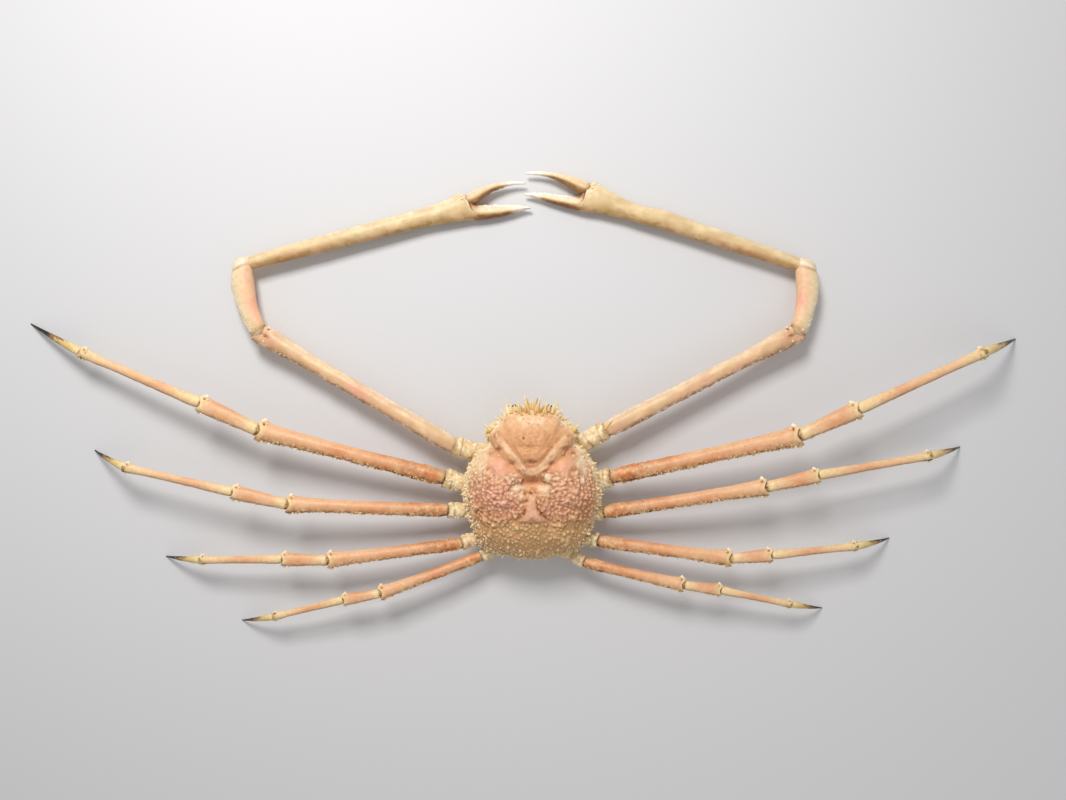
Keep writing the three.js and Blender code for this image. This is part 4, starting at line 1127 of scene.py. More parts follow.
def limb(name, kind, start, end, width, startNormal, endNormal, lead, paint, relief=None,
         depth=0.9, swing=0.0, sides=36, bow=0.0, taper=1.0, tip=False, finish="legShell", slot=None,
         nodes=(), cup=True, rows=None, notch=0.0, dome=0.0):
    start, end = np.array(start, float), np.array(end, float)
    length = np.linalg.norm(end - start)
    along = unit(end - start)
    across = unit(np.cross(vertical, along))
    rise = np.cross(along, across)
    count = max(int(length / ringStep), 12)
    t = np.linspace(0, 1, count)
    size = softProfile(rows or profiles[kind], t, width, length) * (1 + (taper - 1) * t) * width / 2
    turn = fullTurn * np.arange(sides) / sides
    arch = 4 * t * (1 - t)
    centre = start + np.outer(t * length, along) + np.outer(bow * arch, rise)
    centre = centre + np.outer(swing * arch, across)
    spoke = np.outer(np.cos(turn), across) + np.outer(np.sin(turn) * depth, rise)
    grid = centre[:, None, :] + size[:, None, None] * spoke[None]
    radial = np.broadcast_to(spoke / np.linalg.norm(spoke, axis=1)[:, None], grid.shape)
    fromStart, fromEnd = t * length, (1 - t) * length
    # side angle measured from the leading side, over the top
    leadTurn = turn if np.dot(across, lead) > 0 else (math.pi - turn)
    angle = (leadTurn + math.pi) % fullTurn - math.pi
    info = {
        "t": t[:, None], "angle": angle[None, :], "fromStart": fromStart[:, None],
        "fromEnd": fromEnd[:, None],
        "width": width, "length": length, "points": grid, "size": size[:, None],
    }
    flatPoints = grid.reshape(-1, 3)
    bumps = (fieldNoise(flatPoints, 0.5 * width, 3.0) - 0.5) * 0.045 * width
    bumps += (fieldNoise(flatPoints, 3.4, 9.0) - 0.5) * 0.35
    push = bumps.reshape(count, sides) * np.clip(size[:, None] / (0.3 * width), 0.2, 1)
    if relief is not None:
        push = push + relief(info)
    grid = grid + radial * push[..., None]
    info["points"] = grid

    def lean(plane, distances):
        # slides the last rings along the limb so that the end lies in the plane half way round the bend
        weight = 1 - ease(distances, 0, 1.3 * width)
        side = grid - centre[:, None, :]
        slide = -(side @ plane) / max(float(along @ plane), 0.25)
        return (weight[:, None] * slide)[..., None] * along

    # the rim draws back on top, where the next piece bends up, and runs out into a lobe on each side
    cut = 0.3 * bell(angle, 0.7) + 0.25 * bell(np.abs(angle) - math.pi, 0.7)
    cut = notch * width * (cut - bell(angle - math.pi / 2, 0.7))
    rim = ((1 - ease(fromEnd, 0, 0.9 * width))[:, None] * cut[None, :])[..., None] * along
    grid = grid + lean(np.asarray(startNormal), fromStart) + lean(np.asarray(endNormal), fromEnd) + rim
    grid[..., :] += along * (gap / 2) * (1 - 2 * t)[:, None, None]
    masks = paint(info)
    rings = [grid.reshape(-1, 3)]
    tints = [masks.reshape(-1, 4)]
    total = count

    def extra(source, middle, steps, shade):
        # rings past an end: (share of its size, how far along it in widths)
        added, addedTints = [], []
        for share, move in steps:
            added.append(middle + (source - middle) * share + along * move * width)
            addedTints.append(np.tile(shade, (sides, 1)))
        return added, addedTints

    startMiddle, endMiddle = grid[0].mean(0), grid[-1].mean(0)
    added, addedTints = extra(grid[0], startMiddle, headSteps, membraneTint)
    rings = added[::-1] + rings
    tints = addedTints[::-1] + tints
    total += len(added)
    endPole = endMiddle + along * 0.02 * width
    if not tip and cup:
        added, addedTints = extra(grid[-1], endMiddle, cupSteps, membraneTint)
        for ring, shade in zip(addedTints, cupTints):
            ring[:] = shade
        rings += added
        tints += addedTints
        total += len(added)
        endPole = endMiddle - along * 0.015 * width
    elif not tip:
        turns = np.linspace(0.12, 0.95, 9) * math.pi / 2
        domeSteps = [(math.cos(a), (0.1 + dome) * math.sin(a)) for a in turns]
        added, _ = extra(grid[-1], endMiddle, domeSteps, (0, 0, 0, 0))
        addedTints = [masks.reshape(-1, 4)[-sides:] for _ in added]
        rings += added
        tints += addedTints
        total += len(added)
        endPole = endMiddle + along * (0.1 + dome) * width
    points = np.vstack(rings)
    shades = np.vstack(tints)
    startPole = startMiddle - along * 0.36 * width
    points = np.vstack([points, startPole, endPole])
    shades = np.vstack([shades, shades[0], shades[-1]])
    points[:, 2] = np.maximum(points[:, 2], 0.0)
    faces = ringFaces(total, sides)
    low, high = len(points) - 2, len(points) - 1
    top = (total - 1) * sides
    faces += capFaces(top, low, high, sides)
    made = piece(name, points, faces, shells[finish], shades)
    hand(made, slot, *nodes)
    return {"centre": centre, "along": along, "across": across, "rise": rise, "size": size, "t": t,
            "length": length, "width": width, "depth": depth, "lead": np.asarray(lead, float)}


def grainOf(info, size, shift=0.0):
    points = info["points"]
    return fieldNoise(points.reshape(-1, 3), size, shift).reshape(points.shape[:2])


def around(info, angle, width):
    # near an angle, measured from the leading side over the top
    return bell(info["angle"] - angle, width)


def opposite(info, width):
    return bell(np.abs(info["angle"]) - math.pi, width)


def beforeEnd(info, distance, width):
    # near a place before the far end, both numbers in limb widths
    w = info["width"]
    return bell(info["fromEnd"] - distance * w, width * w)


def afterStart(info, distance, width):
    w = info["width"]
    return bell(info["fromStart"] - distance * w, width * w)


def jointPale(info, startReach=0.5, endReach=0.55):
    w = info["width"]
    return np.maximum(bell(info["fromStart"], startReach * w), bell(info["fromEnd"], endReach * w))


def stackMasks(info, pale, dark, blush, olive=0.0):
    shape = (info["points"].shape[0], info["points"].shape[1])
    return np.stack([np.broadcast_to(np.asarray(m, float), shape) for m in (pale, dark, blush, olive)], -1)


lowEdge = math.radians(152)     # the rear and lower edge, measured from the leading side over the top


def edgeBand(info, width=0.6, centre=lowEdge):
    away = np.abs((info["angle"] - centre + math.pi) % fullTurn - math.pi)
    return bell(away, width)


def patches(info, size, shift, low=0.45, high=0.62):
    return ease(grainOf(info, size, shift), low, high)


def streaks(info, shift, size=20.0, low=0.35, high=0.65):
    # long streaks that run down the limb
    along = np.broadcast_to(info["fromStart"] / size, info["points"].shape[:2])
    turned = np.broadcast_to(info["angle"], along.shape)
    spots = np.stack([along, 1.7 * np.cos(turned), 1.7 * np.sin(turned)], -1).reshape(-1, 3)
    return ease(fieldNoise(spots, 1.0, shift), low, high).reshape(along.shape)


def condyleRelief(info, amount=0.11):
    # a knob on the leading side of the outer joint, a lower one behind, and a pit beside the first
    w = info["width"]
    near = beforeEnd(info, 0.24, 0.2)
    push = amount * w * near * around(info, 0, 0.36)
    behind = opposite(info, 0.42)
    push = push + 0.8 * amount * w * beforeEnd(info, 0.16, 0.2) * behind
    pit = beforeEnd(info, 0.3, 0.08) * around(info, 0.62, 0.17)
    lip = beforeEnd(info, 0.03, 0.05)
    swell = beforeEnd(info, 0.42, 0.16) * around(info, 1.5, 0.5)
    return push - 0.09 * w * pit + 0.02 * w * lip + 0.02 * w * swell


def condyleMasks(info):
    white = beforeEnd(info, 0.24, 0.17) * around(info, 0, 0.36)
    # painted shade in the pit beside the knob
    pit = beforeEnd(info, 0.3, 0.075) * around(info, 0.62, 0.17)
    return white, pit


def hipFurrows(info, wide, narrow, second):
    # slanting furrows part the short hip pieces
    w = info["width"]
    slant = 0.13 * w * np.sin(info["angle"] + 0.8)
    first = bell(info["fromEnd"] - 1.2 * w - slant, wide * w)
    return first + second * bell(info["fromEnd"] - 0.52 * w + slant, narrow * w)


def baseRelief(info):
    w = info["width"]
    lumps = grainOf(info, 8.0, 4.0)
    small = grainOf(info, 3.6, 1.0)
    push = -0.07 * w * hipFurrows(info, 0.06, 0.05, 0.9) + 0.07 * w * ease(lumps, 0.4, 0.8)
    return push + 1.1 * (small - 0.5) + condyleRelief(info, 0.07)


def basePaint(info):
    furrows = hipFurrows(info, 0.07, 0.06, 1)
    lumps = patches(info, 6.0, 4.0, 0.4, 0.7)
    dark = 0.22 * furrows + 0.12 * (1 - lumps)
    olive = 0.45 * (1 - lumps) * patches(info, 11, 2.2)
    return stackMasks(info, 0.15 + 0.6 * lumps, dark + 0.25 * beforeEnd(info, 0, 0.08),
                      0.5 * patches(info, 16, 2.0), olive)


def merusRelief(info):
    # scutes along the rear and lower edge, a faint ridge on the leading side, a rough root
    w = info["width"]
    inner = ease(info["fromStart"], 0.3 * w, 0.8 * w) * ease(info["fromEnd"], 0.5 * w, 1.2 * w)
    scutes = grainOf(info, 5.2, 3.0)
    small = grainOf(info, 2.4, 6.0) - 0.5
    rough = np.maximum(edgeBand(info, 0.62), 0.75 * (1 - ease(info["t"], 0.08, 0.42)))
    push = rough * (0.085 * w * ease(scutes, 0.48, 0.8) + 0.9 * small) * inner
    push = push + 0.02 * w * around(info, 0.2, 0.25) * inner - 0.012 * w * around(info, 0.75, 0.2) * inner
    return push + condyleRelief(info)


def merusPaint(info):
    w = info["width"]
    white, pit = condyleMasks(info)
    near = 1 - ease(info["t"], 0.1, 0.5)
    blush = (1.05 - 0.62 * ease(info["t"], 0.15, 0.95)) * (0.62 + 0.38 * streaks(info, 1.0, 60.0))
    # less blush high on the leading side, so it is paler there: painted highlight
    blush = blush * (1 - 0.35 * around(info, 0.9, 0.5))
    wavyEnd = bell(info["fromEnd"] + 0.1 * w * np.cos(2 * info["angle"]), 0.24 * w)
    ends = np.maximum(afterStart(info, 0, 0.26), wavyEnd)
    scale = patches(info, 6.5, 3.0, 0.48, 0.66)
    edge = edgeBand(info, 0.55)
    pale = np.maximum(ends * 0.7, 0.75 * edge * scale)
    pale = np.maximum(pale, 0.4 * near * patches(info, 6.5, 2.0, 0.54, 0.68))
    # a pale streaky band high on the leading side: painted highlight
    pale = np.maximum(np.maximum(pale, white), 0.3 * around(info, 0.25, 0.3) * streaks(info, 7.0, 30.0))
    # dark between the pale scutes of the rear lower edge, partly brown spots and partly painted shade;
    # painted shade on the rear side
    dark = 0.3 * edge * (1 - scale) * (0.4 + 0.6 * patches(info, 9.0, 5.0)) + 0.22 * opposite(info, 0.3)
    dark = dark + 0.62 * pit + 0.25 * afterStart(info, 0, 0.1)
    dark = dark + 0.26 * near * (0.35 + 0.65 * patches(info, 12.0, 4.0)) * (0.5 + 0.5 * edge)
    return stackMasks(info, pale, dark, blush, 0.6 * edge * streaks(info, 9.0, 16.0))


def carpusRelief(info):
    w = info["width"]
    inner = ease(info["fromStart"], 0.5 * w, 1.2 * w)
    ridges = around(info, 0.9, 0.22) + 0.7 * around(info, 2.2, 0.25)
    grain = grainOf(info, 4.0, 3.0)
    push = 0.035 * w * ridges * inner + 0.05 * w * edgeBand(info, 0.5) * ease(grain, 0.5, 0.8)
    return push + condyleRelief(info, 0.1)


def carpusPaint(info):
    white, pit = condyleMasks(info)
    blush = 0.62 * bell(info["t"] - 0.56, 0.32) * (0.55 + 0.45 * streaks(info, 3.0, 30.0))
    pale = np.maximum(np.maximum(0.8 * afterStart(info, 0, 0.7), 0.8 * beforeEnd(info, 0, 0.36)), white)
    pale = np.maximum(pale, 0.5 * edgeBand(info) * patches(info, 5, 2.5))
    # painted shade in the pit; darker along the rear lower edge, partly brown patches and partly painted
    # shade
    dark = 0.5 * pit + 0.22 * edgeBand(info, 0.4) * (0.5 + 0.5 * patches(info, 7, 4.0))
    dark = dark + 0.3 * afterStart(info, 0, 0.1)
    return stackMasks(info, pale, dark, blush)


def propodusPaint(info):
    white, pit = condyleMasks(info)
    blush = 0.42 * bell(info["t"] - 0.4, 0.3) * (0.45 + 0.55 * streaks(info, 5.0, 40.0))
    pale = np.maximum(jointPale(info, 1.5, 1.6) * 0.75, 0.7 * white)
    # a pale streaky band high on the leading side: painted highlight
    pale = np.maximum(pale, 0.5 * around(info, 0.5, 0.5) * streaks(info, 8.0, 30.0))
    dark = 0.45 * pit + 0.2 * beforeEnd(info, 0, 0.7) * patches(info, 5, 1.5)
    # darker along the rear lower edge: partly brown streaks, partly painted shade
    dark = dark + 0.24 * edgeBand(info, 0.45) * (0.5 + 0.5 * streaks(info, 2.0, 24.0))
    return stackMasks(info, pale, dark, blush)


def dactylPaint(info):
    # yellow at the joint, olive, then black horn; darker and sooner on the lower side
    below = 0.5 - 0.5 * np.sin(info["angle"] - 0.35)
    streak = 0.16 * (streaks(info, 4.4, 14.0) - 0.5)
    dark = 0.4 * ease(info["t"] + 0.34 * below + streak, 0.3, 0.55)
    dark = dark + 0.75 * ease(info["t"] + 0.3 * below + streak, 0.6, 0.78)
    pale = 0.75 * np.maximum(bell(info["fromStart"], 0.5 * info["width"]), 0.8 * around(info, 0.7, 0.5))
    return stackMasks(info, pale, dark, 0.25)


def dactylRelief(info):
    ridges = 0.5 * np.cos(4 * info["angle"]) * bell(info["t"] - 0.45, 0.4)
    return ridges * np.clip(info["size"] / 8, 0.1, 1)


limbReliefs = {"base": baseRelief, "merus": merusRelief, "carpus": carpusRelief,
               "propodus": lambda info: condyleRelief(info, 0.09), "dactyl": dactylRelief}
limbPaints = {"base": basePaint, "merus": merusPaint, "carpus": carpusPaint, "propodus": propodusPaint,
              "dactyl": dactylPaint}
limbNotch = {"base": 0.12, "merus": 0.26, "carpus": 0.24, "propodus": 0.16, "dactyl": 0.0}


def camel(name):
    head, *rest = name.split("_")
    return head + "".join(word.capitalize() for word in rest)


def makeLegs():
    kept = {}
    for name, (width, joints) in legs.items():
        for i, kind in enumerate(("base", "merus", "carpus", "propodus", "dactyl")):
            look = limbLook[kind]
            start, end = joints[i], joints[i + 1]
            along = unit(np.subtract(end, start))
            startNormal = bendNormal(joints[i - 1], start, end) if i else along
            endNormal = bendNormal(start, end, joints[i + 2]) if i < 4 else along
            kept[name, kind] = limb(
                camel(f"{name}_{kind}"), kind, start, end, width, startNormal, endNormal, (0, 1, 0),
                limbPaints[kind], limbReliefs[kind], sides=look["sides"], bow=look["bow"],
                taper=look.get("taper", 1.0), tip=kind == "dactyl", notch=limbNotch[kind],
                finish=look["finish"], slot=look["slot"], nodes=[f"{name}_{kind}"])
    return kept


legPieces = makeLegs()
print("walking legs made")

thighSpec = {
    # angle of each row from the leading side over the top, its spacing and its size
    "rows": [(126, 15.0, 0.7), (143, 8.0, 0.9), (158, 7.0, 1.0), (174, 9.0, 1.0), (-163, 10.0, 1.0),
             (-135, 12.0, 0.9)],
    "length": 2.9, "radius": 1.75, "lean": 0.45, "seed": 21,
}
grainSpec = {"perArea": 0.0045, "radius": 0.8, "height": 0.8, "seed": 33}
nubSpec = {"perArea": 0.016, "radius": 1.7, "height": 1.9, "seed": 41}
beadSpec = [
    # angle, how far before the far end, radius and height in widths, masks
    (0, 0.26, 0.13, 0.17, (1.0, 0.0, 0.0)), (12, 0.14, 0.09, 0.12, (1.0, 0.0, 0.0)),
    (178, 0.16, 0.14, 0.15, (0.8, 0.08, 0.0)),
    (-160, 0.3, 0.08, 0.12, (0.8, 0.1, 0.0)), (38, 0.5, 0.05, 0.07, (0.9, 0.0, 0.1)),
    (150, 0.46, 0.06, 0.09, (0.7, 0.0, 0.1)),
]


def surfaceSpot(found, t, degrees):
    # a place on a limb, the angle measured from the leading side over the top
    side = 1 if np.dot(found["across"], found["lead"]) > 0 else -1
    turn = math.radians(degrees)
    i = int(np.clip(t * (len(found["t"]) - 1), 0, len(found["t"]) - 1))
    facing = unit(found["across"] * side * math.cos(turn) + found["rise"] * math.sin(turn))
    size = found["size"][i]
    flat = found["across"] * side * math.cos(turn) + found["rise"] * math.sin(turn) * found["depth"]
    return found["centre"][i] + flat * size, facing


def rowsOfSpinules(found, random, scale):
    width, length = found["width"], found["length"]
    for degrees, spacing, strength in thighSpec["rows"]:
        count = int(length / spacing)
        for k in range(count):
            t = (k + 0.5 + random.uniform(-0.35, 0.35)) / count
            if t * length < 0.4 * width or (1 - t) * length < 0.5 * width:
                continue
            spot, facing = surfaceSpot(found, t, degrees + random.uniform(-12, 12))
            clump = float(fieldNoise(np.array([spot]), 16.0, 3.0)[0])
            if clump < 0.38 + random.uniform(-0.1, 0.06):
                continue
            grown = scale * strength * random.uniform(0.4, 1.3) * (0.6 + 0.8 * clump)
            way = unit(facing + thighSpec["lean"] * random.uniform(0.4, 1.4) * found["along"])
            yield (spot + 0.1 * facing, way, (thighSpec["radius"] * grown, thighSpec["radius"] * grown,
                                              thighSpec["length"] * grown * random.uniform(0.7, 1.2)),
                   (random.uniform(0.2, 1.0), random.uniform(0, 0.16), 0.35, random.uniform(0, 0.6)))


def makeLegSpinules():
    random = np.random.default_rng(thighSpec["seed"])
    thorny, nubby, beads = [], [], []
    for (_, kind), found in legPieces.items():
        width, length = found["width"], found["length"]
        if kind in ("merus", "carpus"):
            thorny += rowsOfSpinules(found, random, width / 28 * (1.0 if kind == "merus" else 0.62))
        if kind in ("merus", "carpus", "propodus"):
            shrink = {"merus": 1.0, "carpus": 0.9, "propodus": 0.7}[kind] * width
            for degrees, back, radius, height, tint in beadSpec:
                spot, facing = surfaceSpot(found, 1 - back * width / length, degrees)
                beads.append((spot + 0.05 * width * facing, unit(facing + 0.25 * found["along"]),
                              (radius * shrink, radius * shrink, height * shrink), tint))
        # low grains over the rest, thicker toward the body
        area = math.pi * width * length
        for _ in range(int(area * grainSpec["perArea"])):
            t = 0.05 + 0.9 * random.uniform(0, 1) ** 1.5
            spot, facing = surfaceSpot(found, t, random.uniform(-180, 180))
            grown = random.uniform(0.4, 1.2)
            if kind in ("merus", "carpus"):
                wide, tall = grainSpec["radius"] * grown, grainSpec["height"] * grown
                thorny.append((spot, facing, (wide, wide, tall), (random.uniform(0.0, 0.6), 0.0, 0.7)))
        if kind == "base":
            for _ in range(int(area * nubSpec["perArea"])):
                spot, facing = surfaceSpot(found, random.uniform(0.02, 0.97), random.uniform(-180, 180))
                grown = random.uniform(0.45, 1.3)
                wide, tall = nubSpec["radius"] * grown, nubSpec["height"] * grown
                nubby.append((spot + 0.6 * facing, unit(facing + random.uniform(-0.4, 0.4, 3)),
                              (wide, wide, tall), (random.uniform(0.4, 1.0), 0.0, 0.1)))
    setThorns("legSpinules", thorny, shells["legShell"], "thigh_shell",
              sides=7, bluntness=1.9, sizeSpread=0.15, seed=9)
    setThorns("hipNubs", nubby, shells["bellyShell"], "leg_base_shell",
              sides=7, bluntness=2.6, sizeSpread=0.15, seed=15)
    setThorns("jointBeads", beads, shells["bellyShell"], "knee_shell",
              sides=12, bluntness=3.2, sizeSpread=0.06, seed=19)
    return len(thorny), len(nubby), len(beads)


print("leg spinules, nubs and beads made:", makeLegSpinules())

# Claw arms

armWidth = 34
arms = {
    "right_claw": {
        "outward": 1,
        "joints": [(62, 57, 42), (153, 110, 56), (552, 312, 40), (556, 457, 30), (127, 600, 17)],
        "carpusEnd": (572, 452, 30),
    },
    "left_claw": {
        "outward": -1,
        "joints": [(-67, 51, 42), (-161, 77, 56), (-567, 312, 40), (-591, 459, 30), (-148, 578, 17)],
        "carpusEnd": (-606, 455, 30),
    },
}
palmRows = [(0, 0, 0.8), (0, 0.25, 0.84), (0, 0.9, 0.88), (0.35, 0, 1.04), (0.6, 0, 1.08)]
# Hands from above: upper edge x y, lower edge x y, height of the middle, depth
handRows = {
    "right_claw": [
        (281, 571, 269, 532, 25, 29), (231, 581, 222, 545, 22, 30), (203, 592, 194, 553.5, 20, 31),
        (174, 607, 166, 560, 19, 33), (157, 618, 150, 564, 18, 34), (142, 628, 136, 566, 18, 35),
        (131, 632, 127, 567, 17, 34), (122, 631, 121, 567.5, 17, 33), (114, 624, 117, 568, 17, 31),
        (108, 614, 113, 568.5, 16, 29), (103, 605.5, 108, 569.5, 16, 27), (95, 601.5, 99, 571, 16, 25),
        (79, 601.5, 80, 577, 15, 22), (59, 604, 60, 582.5, 15, 19), (36, 607.5, 38, 589, 14, 16),
        (15, 610, 18, 596, 14, 12), (0, 611, 3, 600, 14, 9), (-10, 609.5, -8, 603.5, 14, 6),
    ],
    "left_claw": [
        (-330, 548.4, -320, 512.6, 24, 28), (-235, 574, -225, 537.5, 20, 29),
        (-196, 587, -190, 543, 19, 31),
        (-166, 602, -163, 547, 18, 33), (-154, 607, -150, 549, 18, 34), (-144, 607, -142, 550, 17, 34),
        (-136, 602, -138, 551, 17, 32), (-130, 594, -134, 551.5, 17, 30), (-125, 587, -128, 552, 16, 29),
        (-119, 583.5, -120, 552.5, 16, 27), (-108, 583, -109, 553, 15, 25), (-87, 583, -88, 555.5, 15, 22),
        (-60, 583.8, -62, 560, 14, 19), (-37, 584, -39, 566.5, 14, 16), (-20, 583, -22, 572.5, 14, 12),
        (-9, 580.8, -10, 575.5, 14, 8),
    ],
}
handTips = {"right_claw": (-16, 606.5, 14), "left_claw": (-2, 577.8, 14)}
fingerRows = {
    "right_claw": [
        (127, 625, 125, 607, 20, 18), (119, 630.5, 113, 604, 20, 24), (108, 635.5, 102, 605.5, 20, 26),
        (92, 641, 88, 615, 20, 24), (76, 645.5, 72, 624, 20, 21), (60, 649.5, 57, 632, 19, 18),
        (45, 651.8, 42, 639.5, 19, 14), (25, 654, 23, 645, 18, 11), (5, 654.7, 4, 647, 17, 8),
        (-6, 653.8, -6, 648.2, 17, 6),
    ],
    "left_claw": [
        (-147, 600, -144, 583, 20, 18), (-138, 606, -133, 580, 20, 24), (-127, 611.5, -121, 583, 20, 26),
        (-110, 618, -106, 594, 20, 24), (-96, 623.5, -92, 606, 20, 19), (-82, 628, -78, 614, 20, 15),
        (-62, 631.5, -60, 621, 19, 12), (-37, 633.8, -37, 626.2, 18, 9), (-22, 632.5, -22, 627, 17, 6),
    ],
}
fingerTips = {"right_claw": (-14, 651, 17), "left_claw": (-13, 630, 17)}
carpusSwing = 12
armSpec = {
    # shares of the way from wrist to knuckle where the palm's root has rows
    "palmShares": (-0.045, -0.02, 0.0, 0.03, 0.08, 0.2, 0.34, 0.48),
    "teeth": 17,
    # degrees over the top; how far before the end, in mm or, at the elbow, in widths; radius
    "hingeLumps": [(14, 152, 3.4), (34, 149, 2.8), (54, 146, 3.0), (76, 144, 2.4), (24, 160, 2.2),
                   (64, 154, 2.0)],
    "elbowBosses": [(20, 0.42, 4.6), (-10, 0.2, 4.6), (150, 0.36, 4.6), (172, 0.15, 4.6), (48, 0.62, 3.4),
                    (120, 0.6, 3.6)],
    "spinuleRows": [(150, 15), (172, 13), (-160, 14), (8, 24)],      # degrees, spacing
}
spineOfHip = {"root": (150, 112, 66), "tip": (167, 137, 74), "radius": 2.6}


def armMerusPaint(info):
    # tan orange, paler on the leading side where a highlight is painted, brown and yellow toward the lower
    # edge, partly painted shade, and painted shade in the crease before the elbow
    white, pit = condyleMasks(info)
    edge = edgeBand(info, 0.5, math.radians(160))
    blush = (0.45 + 0.4 * bell(info["t"] - 0.42, 0.4)) * (0.55 + 0.45 * streaks(info, 1.0, 60.0))
    # less blush on the leading side, so it is paler there: painted highlight
    blush = blush * (1 - 0.55 * around(info, 0.5, 0.6)) + 0.25 * beforeEnd(info, 0, 1.4)
    scale = patches(info, 6.0, 3.0, 0.5, 0.68)
    # pale on the leading side, a painted highlight, and the white knob
    pale = np.maximum(0.45 * around(info, 0.35, 0.5) * (0.6 + 0.4 * streaks(info, 3.0, 50.0)), 0.8 * white)
    pale = np.maximum(pale, 0.55 * edge * scale)
    shadedCrease = beforeEnd(info, 0.35, 0.4) * around(info, 1.5, 0.14)
    # painted shade in the crease on top before the elbow; dark between the yellow scales of the lower edge,
    # partly brown and partly painted shade
    dark = 0.3 * edge * (1 - scale) + 0.5 * pit + 0.5 * shadedCrease
    dark = dark + 0.1 * streaks(info, 6.0, 30.0) + 0.25 * afterStart(info, 0, 0.08)
    olive = 0.4 * edge * streaks(info, 9.0, 20.0) + 0.25 * streaks(info, 12.0, 44.0)
    return stackMasks(info, pale, dark, blush, olive)


def armMerusRelief(info):
    w = info["width"]
    lumps = grainOf(info, 8.0, 3.0)
    small = grainOf(info, 2.6, 6.0) - 0.5
    edge = edgeBand(info, 0.6, math.radians(165))
    lobes = beforeEnd(info, 0.5, 0.3) * (around(info, 0.7, 0.4) + around(info, 2.3, 0.4))
    shadedCrease = beforeEnd(info, 0.35, 0.4) * around(info, 1.5, 0.16)
    push = edge * (0.05 * w * ease(lumps, 0.45, 0.8) + 0.6 * small) + w * (0.06 * lobes - 0.09 * shadedCrease)
    return push + condyleRelief(info, 0.08)


def armCarpusRelief(info):
    w = info["width"]
    nubs = grainOf(info, 6.0, 4.0)
    outer = around(info, 0, 0.7)
    rim = beforeEnd(info, 0.12, 0.1) - 0.8 * beforeEnd(info, 0.34, 0.08)
    return 0.06 * w * outer * ease(nubs, 0.5, 0.8) + 0.035 * w * rim * around(info, 1.5, 1.2)


def armCarpusPaint(info):
    # pink peach on the inner side, pale cream outside, olive and brown at the elbow
    inner = lowerSide(info, -0.3, 0.4)
    blush = 0.95 * inner * (0.6 + 0.4 * streaks(info, 4.0, 40.0)) * bell(info["t"] - 0.5, 0.48)
    pale = np.maximum(0.55 * around(info, 0.2, 0.9), 0.6 * beforeEnd(info, 0.12, 0.14))
    # painted shade in the groove before the end
    arc = beforeEnd(info, 0.34, 0.07) * around(info, 1.3, 1.1)
    dark = 0.45 * afterStart(info, 0.12, 0.14) * (0.5 + 0.5 * patches(info, 6.0, 4.0)) + 0.3 * arc
    dark = dark + 0.1 * around(info, 0, 0.8) * patches(info, 14.0, 2.0)
    olive = 0.6 * afterStart(info, 0, 0.5) + 0.3 * around(info, -0.3, 0.4)
    return stackMasks(info, pale, dark, blush, olive)


def smoothRows(rows, count, reach):
    # even samples along given rows, softened over a few of them
    rows = np.asarray(rows, float)
    middle = (rows[:, :2] + rows[:, 2:4]) / 2
    stride = np.maximum(np.linalg.norm(np.diff(middle, axis=0), axis=1), 0.5
                        * np.linalg.norm(np.diff(rows[:, :2], axis=0), axis=1))
    run = np.concatenate([[0], np.cumsum(stride)])
    fine = np.linspace(0, run[-1], edgeSamples)
    raw = np.stack([np.interp(fine, run, column) for column in rows.T], -1)
    size = max(int(reach / run[-1] * edgeSamples), 1)
    kernel = bell(np.arange(-3 * size, 3 * size + 1), 1.4 * size)
    kernel /= kernel.sum()
    padded = np.vstack([2 * raw[0] - raw[3 * size:0:-1], raw, 2 * raw[-1] - raw[-2:-3 * size - 2:-1]])
    soft = np.stack([np.convolve(column, kernel, mode="valid") for column in padded.T], -1)
    return np.stack([np.interp(np.linspace(0, run[-1], count), fine, column) for column in soft.T], -1)


